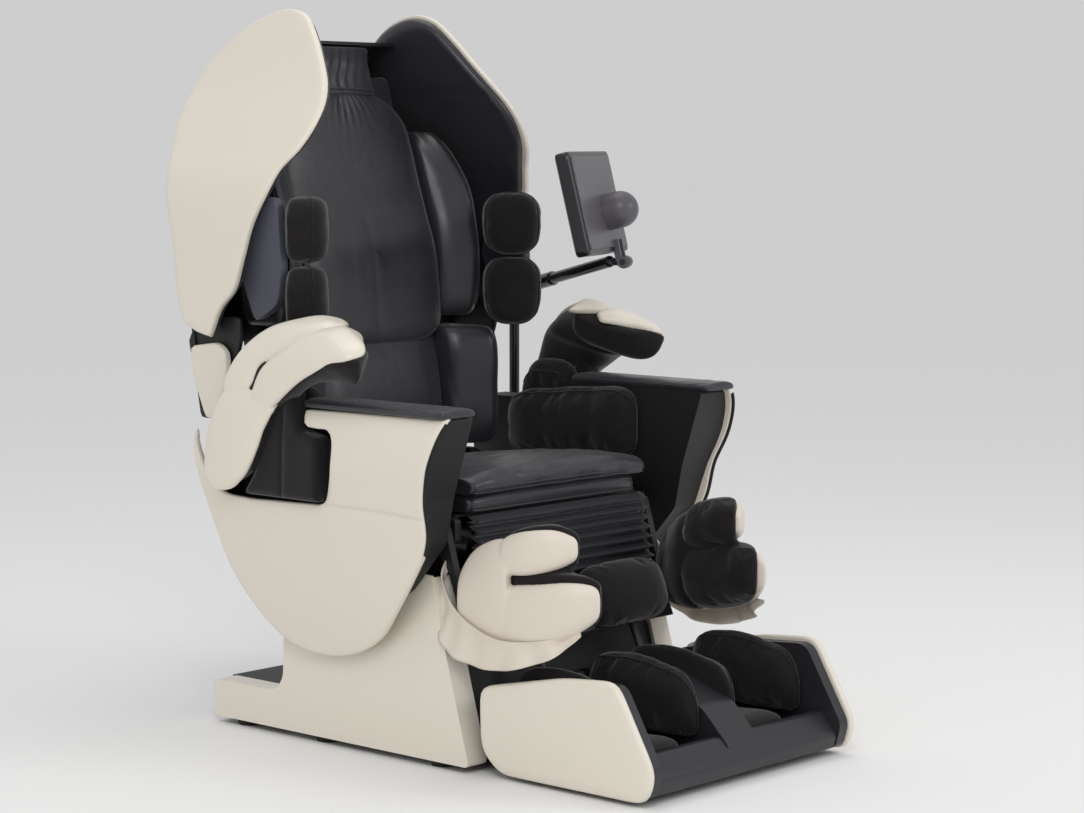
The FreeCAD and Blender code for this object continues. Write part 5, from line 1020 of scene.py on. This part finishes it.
for side, sign in SIDES:
    panel = shell("foot_panel_skin_" + side, FOOT_OUTLINE, upright(279), 15, cream_lacquer, sign, rim=7,
                  back_rim=4, spacing=11)
    place(panel, "foot", ["foot_panels"], "cream_shell")
    pads = []
    for label, x, out in FOOT_WALLS:
        rows = [((sign * x, y, z), (0, 0, 1), (sign * out, 0, 0), tall, FOOT_RISE * full)
                for y, z, tall, full in FOOT_SIDE]
        pad = stack(f"foot_{label}_air_pad_{side}", pad_sections(rows, 2.7), black_knit, end=6, wrinkle=1.2,
                    seed=5)
        pads.append((pad, rows, before((sign * out, 0, 0), (sign * x, 0, 0), 12)))
    rows = [((sign * SOLE_X, y, SOLE_FLOOR), (1, 0, 0), (0, 0, 1), wide, SOLE_RISE * full)
            for y, wide, full in FOOT_SOLE]
    sole = stack("foot_sole_pad_" + side, pad_sections(rows, 3.0), black_knit, end=8)
    puffed([(pad, free) for pad, _, free in pads], cap=7)
    for pad, rows, _ in pads:
        piped(pad, rows, level=0.6, square=2.7, end=6, radius=1.7)
        place(pad, "foot", ["foot_pads"], "black_fabric", 0.8)
    place(sole, "foot", ["foot_pads"], "black_fabric", 0.5)
print("foot unit done")

# %% [markdown]
# ## Backrest pads
#
# A foam core covers the roller path. Over it hangs a quilted pad on a head strap, and on each side stand
# two bolsters and two stacked shoulder pads. All of them are stacks of sections along their own middle
# line, which keeps their puff and their piping even. Their folds are formulas of the two parameters.

# %% Back cushion
CORE_BEHIND = 55.5
CORE_HALF = 157


def guide(z):
    """y of the roller guides at height z."""
    return 384.5 + (z - 600) * math.tan(math.radians(12.5))


BACK_FRONT = [(286, 492), (300, 620), (334, 752), (350, 856), (393, 988), (420, 1099), (446, 1186)]
CORE_REAR = [(guide(z) - CORE_BEHIND, z) for z in (1180, 1099, 988, 856, 752, 640)]
CORE_SIDE = np.vstack([smooth_line(BACK_FRONT, 60), CORE_REAR, [(326, 560), (322, 492)]])
behind = np.interp(CORE_SIDE[:, 1], [492, 560, 640, 1186],
                   [322, 326, guide(640) - CORE_BEHIND, guide(1186) - CORE_BEHIND])
room = np.clip(behind - CORE_SIDE[:, 0], 0, None)
sections = [np.column_stack([np.full(len(room), x), CORE_SIDE[:, 0] + room * 0.35 * abs(x / CORE_HALF) ** 6,
                             CORE_SIDE[:, 1]]) for x in np.linspace(-CORE_HALF, CORE_HALF, 9)]
core = stack("back_foam_cushion", sections, black_leather, around=140, end=30)
place(core, "back", ["back_cushion"], "black_leather", 0.8)
print("back cushion done")

# %% Loose back pad
PAD_LINE = [(322, 690, 0.5, 0.86), (326, 712, 0.8, 0.98), (331, 740, 0.95, 1.0), (336, 790, 1.0, 1.0),
            (345, 856, 1.0, 1.0), (368, 922, 1.0, 1.0), (389, 988, 1.0, 0.99), (403, 1046, 1.0, 0.97),
            (415, 1099, 0.95, 0.9), (421, 1130, 0.8, 0.74), (425, 1150, 0.7, 0.56)]
PAD_WIDTH, PAD_RISE = 344, 16


def back_folds(u, v):
    """Upright folds low on the pad, and gathers below the strap; v runs 0..pi across the front face."""
    front = np.clip(np.sin(v), 0, 1) ** 0.5 * (v < np.pi)
    low = 2.4 * np.exp(-((u + 0.42) / 0.34) ** 2) * (np.sin(7.5 * v + 1.2 * u) + 0.5 * np.sin(13 * v + 2))
    high = 2.6 * np.exp(-((u - 1.0) / 0.2) ** 2) * np.sin(34 * v + 3 * u)
    return front * (low + high)


slopes = np.gradient(np.array(PAD_LINE)[:, :2], axis=0)
rows = [((0, y, z), (1, 0, 0), (0, -dz, dy), PAD_WIDTH * share, PAD_RISE * full)
        for (y, z, full, share), (dy, dz) in zip(PAD_LINE, slopes)]
pad = stack("back_quilted_pad", pad_sections(rows, 3.4), black_leather, along=150, around=200, end=10,
            wrinkle=0.8, seed=9, folds=back_folds)
piped(pad, rows, level=0.4, square=3.4, end=10, radius=2.4)
place(pad, "back", ["back_pad"], "black_leather", 0.6)
print("back pad done")

# %% Head strap
STRAP_LINE = ((421.5, 1146, 186), (428, 1176, 178), (434, 1206, 170), (430, 1236, 162))
STRAP_RISE = 9


def strap_folds(u, v):
    """Upright gathers between the strap's two cross seams."""
    return (v < np.pi) * 1.7 * np.exp(-((u - 0.1) / 0.7) ** 4) * np.sin(16 * v + 2.5 * u + np.sin(5 * u))


rows = [((0, y, z), (1, 0, 0), (0, -1, 0.2), width, STRAP_RISE) for y, z, width in STRAP_LINE]
strap = stack("back_pad_strap", pad_sections(rows, 3.6, 0.4), black_leather, along=60, around=150, end=20,
              wrinkle=0.4, seed=10, folds=strap_folds)
across = np.linspace(-88, 88, 30)
for z, y in ((1152, 413), (1160, 415)):
    corded(strap, np.column_stack([across, np.full(30, y), z - (across / 88) ** 2 * 3]), 1.8, closed=False)
place(strap, "back", ["pad_strap"], "black_leather", 0.4)
print("strap done")

# %% Bolsters
def rear_line(z, ahead=8.4):
    """y of the bolsters' rear, a little ahead of the roller guides."""
    return guide(z) - ahead


LOW_BOLSTER = [(487, 252, 314, 256), (520, 244, 330, 256), (600, 243, rear_line(600, 13.4), 256),
               (680, 244, rear_line(680), 256), (712, 252, rear_line(712), 256)]
HIGH_BOLSTER = [(z, front, rear_line(z), outer) for z, front, outer in (
    (730, 300, 256), (760, 294, 256), (884, 293, 256), (1000, 330, 256), (1046, 354, 242), (1080, 372, 222))]
BOLSTERS = (("low", LOW_BOLSTER, 158.5), ("high", HIGH_BOLSTER, 178))


def bolster_plan(near, front, rear, outer):
    """A bolster's plan section: deep at its outer side, with a front that slopes down to its inner side."""
    wide = outer - near
    return rounded([(near, rear), (outer, rear), (outer, front + 22), (outer - 6, front + 6),
                    (outer - 22, front + 1), (near + 14, front + wide * 0.36),
                    (near, front + wide * 0.55)], 9, 80)


for side, sign in SIDES:
    for label, rows, near in BOLSTERS:
        sections = []
        for z, front, rear, outer in rows:
            plan = bolster_plan(near, front, rear, outer)
            sections.append(np.column_stack([sign * plan[:, 0], plan[:, 1], np.full(len(plan), z)]))
        bolster = stack(f"{label}_back_bolster_{side}", sections, black_leather, along=80, around=72, end=10,
                        wrinkle=1.2, seed=14)
        edge = smooth_line([(sign * (outer - 10), front + 2, z) for z, front, _, outer in rows], 60)[3:-3]
        corded(bolster, edge, 2.0, closed=False)
        place(bolster, "back", ["back_bolsters"], "black_leather", 0.8)
print("bolsters done")

# %% Shoulder pads and wings
WING = rounded([(238, 776), (300, 742), (346, 852), (292, 964), (240, 964), (230, 838)], 22, 90)
SHOULDER_PADS = (("low", 718, 842, 287), ("high", 850, 964, 286))
SHOULDER_WIDTHS = (94, 108, 112, 110, 94)
SHOULDER_Y, SHOULDER_RISE = 246, 66

for side, sign in SIDES:
    across, out = (-sign * 0.70, 0.714, 0), (-sign * 0.714, -0.70, 0)
    pads = []
    for label, low, high, x in SHOULDER_PADS:
        rows = [((sign * x, SHOULDER_Y, z), across, out, wide, SHOULDER_RISE)
                for z, wide in zip(np.linspace(low, high, 5), SHOULDER_WIDTHS)]
        pad = stack(f"{label}_shoulder_air_pad_{side}", pad_sections(rows, 2.6), black_knit, end=4.2,
                    wrinkle=1.4, seed=16)
        pads.append((pad, rows))
    puffed([(pad, before(out, (sign * 290, SHOULDER_Y, 840), 20)) for pad, _ in pads], cap=8)
    for pad, rows in pads:
        piped(pad, rows, level=0.62, square=2.6, end=4.2, radius=1.5)
        place(pad, "back", ["shoulder_pads"], "black_fabric", 0.8)
    wing = shell("shoulder_wing_" + side, WING, upright(300), 24, slate_leather, sign, facing=-1, rim=10,
                 spacing=9)
    place(wing, "back", ["wing_panels"], "slate_leather", 0.6)
print("shoulder pads done")

# %% [markdown]
# ## Tablet
#
# The control tablet has a dark rounded case with a grey panel on the back and a glass screen towards the
# sitter. Its plates are trimmed shells with tight rims. They are drawn flat, and then turned and moved
# onto the pin, because a flat outline is easier to round.

# %% Tablet
TABLET_TIP = (311, -18, 839)
TABLET_LEAN, TABLET_SWING = -13, 23.9
TABLET_EDGES = (-175, 75, 22, 212)


def turned(points, a, b, degrees):
    """Turns columns a and b of the points: (a cos t - b sin t, a sin t + b cos t)."""
    t = math.radians(degrees)
    points = points.copy()
    points[:, [a, b]] = points[:, [a, b]] @ [[math.cos(t), math.sin(t)], [-math.sin(t), math.cos(t)]]
    return points


def on_tablet(obj):
    """From the flat drawing (depth, across, up) to the tablet's place: lean about x, swing about z, move."""
    points = mesh_points(obj)[0][:, [1, 0, 2]]
    points = turned(turned(points, 1, 2, TABLET_LEAN), 0, 1, TABLET_SWING)
    set_points(obj, points + TABLET_TIP)
    obj.data.flip_normals()
    return obj


def plate_outline(inset, radius):
    """The tablet's outline as (across, up), moved inwards."""
    left, right, low, high = np.add(TABLET_EDGES, (inset, -inset, inset, -inset))
    return rounded([(left, low), (right, low), (right, high), (left, high)], radius, 120)


for name, inset, radius, front, thick, finish in (
        ("tablet_case_skin", -0.6, 14, 35.6, 26.4, edge_abs),
        ("tablet_back_panel", 9, 9, 9.4, 2.2, tablet_abs),
        ("tablet_screen_glass", 10, 8, 37.2, 2.2, screen_glass)):
    rim = min(thick * 0.45, 5)
    plate = shell(name, plate_outline(inset, radius), upright(front), thick, finish, 1, spacing=9, rim=rim,
                  back_rim=rim)
    place(on_tablet(plate), "tablet_tilt", slot="tablet_case")
print("tablet done")

# %% [markdown]
# ## Finishes of the mechanical parts
#
# Frames, covers, actuators, rails and rollers keep their exact shapes and only get their finishes.

# %% Finishes of the CAD parts
FINISH = {
    powder_coat: ["base_frame", "cradle_frame", "back_frame", "legrest_frame", "carriage_frame"],
    cream_lacquer: ["base_cover_left", "base_cover_right"],
    black_abs: ["base_front_cover", "base_rear_cover", "power_inlet", "side_body_left", "side_body_right",
                "back_shell", "control_box"],
    grey_abs: ["foot_housing"],
    tablet_abs: ["tablet"],
    black_rubber: ["rubber_feet"],
    ground_steel: ["tilt_pins", "cradle_pins", "guide_rails", "tilt_actuator_rod", "recline_actuator_rod",
                   "legrest_actuator_rod"],
    cast_alloy: ["tilt_actuator_motor", "recline_actuator_motor", "legrest_actuator_motor", "knead_motor",
                 "air_pump_and_valves", "roller_arms"],
    roller_nylon: ["upper_rollers", "lower_rollers", "sole_rollers"],
    edge_abs: ["power_rocker", "tablet_post", "tablet_arm"],
}
for material, names in FINISH.items():
    for name in names:
        NODES[name].data.materials.clear()
        NODES[name].data.materials.append(material)
for node in NODES.values():
    smoothed(node.data)
print("finished nodes:", sum(len(names) for names in FINISH.values()))

# %% [markdown]
# ## Camera, light and floor
#
# The picture was taken from the front left at chest height with a long lens, under broad soft light in
# front of a white sweep.

# %% Camera
LOOK_DOWN = 5.532
HEADING = (0.7411, 0.6714)

camera = bpy.data.objects.new("camera", bpy.data.cameras.new("camera"))
bpy.context.scene.collection.objects.link(camera)
camera.location = (-3.51, -3.272, 1.055)
camera.rotation_euler = (math.radians(90 - LOOK_DOWN), 0, -math.atan2(*HEADING))
camera.data.lens = 89.67
camera.data.sensor_width = 36
bpy.context.scene.camera = camera
print("camera:", camera.data.lens, "mm")

# %% Floor
FLOOR_HALF = 60

floor_mesh = bpy.data.meshes.new("floor")
corners = [(x * FLOOR_HALF, y * FLOOR_HALF, 0) for x, y in ((-1, -1), (1, -1), (1, 1), (-1, 1))]
floor_mesh.from_pydata(corners, [], [(0, 1, 2, 3)])
floor = bpy.data.objects.new("floor", floor_mesh)
bpy.context.scene.collection.objects.link(floor)
sweep, tree, bsdf = new_material("matt_white_sweep", "#F4F4F4", 0.85)
spot = add(tree, "ShaderNodeTexCoord").outputs["Object"]
grain = add(tree, "ShaderNodeTexNoise", {"Vector": spot, "Scale": 300}).outputs["Fac"]
relief(tree, bsdf, (grain, 0.0002, 1))
floor_mesh.materials.append(sweep)
print("floor:", 2 * FLOOR_HALF, "m wide")

# %% Lights and backdrop
AIM = Vector((0, 0, 0.6))
SOFTBOXES = (("key_softbox", (-2.6, -2.2, 2.9), 1.3, 34), ("front_softbox", (1.6, -3.4, 2.2), 1.2, 20),
             ("top_softbox", (0.4, 0.6, 3.4), 2.0, 14))

for name, spot, size, watts in SOFTBOXES:
    light = bpy.data.lights.new(name, "AREA")
    light.size = size
    light.energy = watts
    softbox = bpy.data.objects.new(name, light)
    softbox.location = spot
    softbox.rotation_euler = (AIM - Vector(spot)).to_track_quat("-Z", "Y").to_euler()
    bpy.context.scene.collection.objects.link(softbox)

world = bpy.data.worlds.new("sweep")
world.use_nodes = True
tree = world.node_tree
tree.nodes.clear()
path = add(tree, "ShaderNodeLightPath").outputs
seen = path["Is Camera Ray"]
for ray in ("Is Transmission Ray", "Is Glossy Ray"):
    seen = add(tree, "ShaderNodeMath", {0: seen, 1: path[ray]}, operation="MAXIMUM").outputs["Value"]
fill = add(tree, "ShaderNodeBackground", {"Color": linear("#FFFFFF"), "Strength": 0.68})
wall = add(tree, "ShaderNodeBackground", {"Color": linear("#CECECE"), "Strength": 1.0})
mix = add(tree, "ShaderNodeMixShader", {"Fac": seen, 1: fill.outputs["Background"],
                                        2: wall.outputs["Background"]})
add(tree, "ShaderNodeOutputWorld", {"Surface": mix.outputs["Shader"]})
bpy.context.scene.world = world
bpy.context.scene.view_settings.view_transform = "Standard"
print("camera and lights ready")
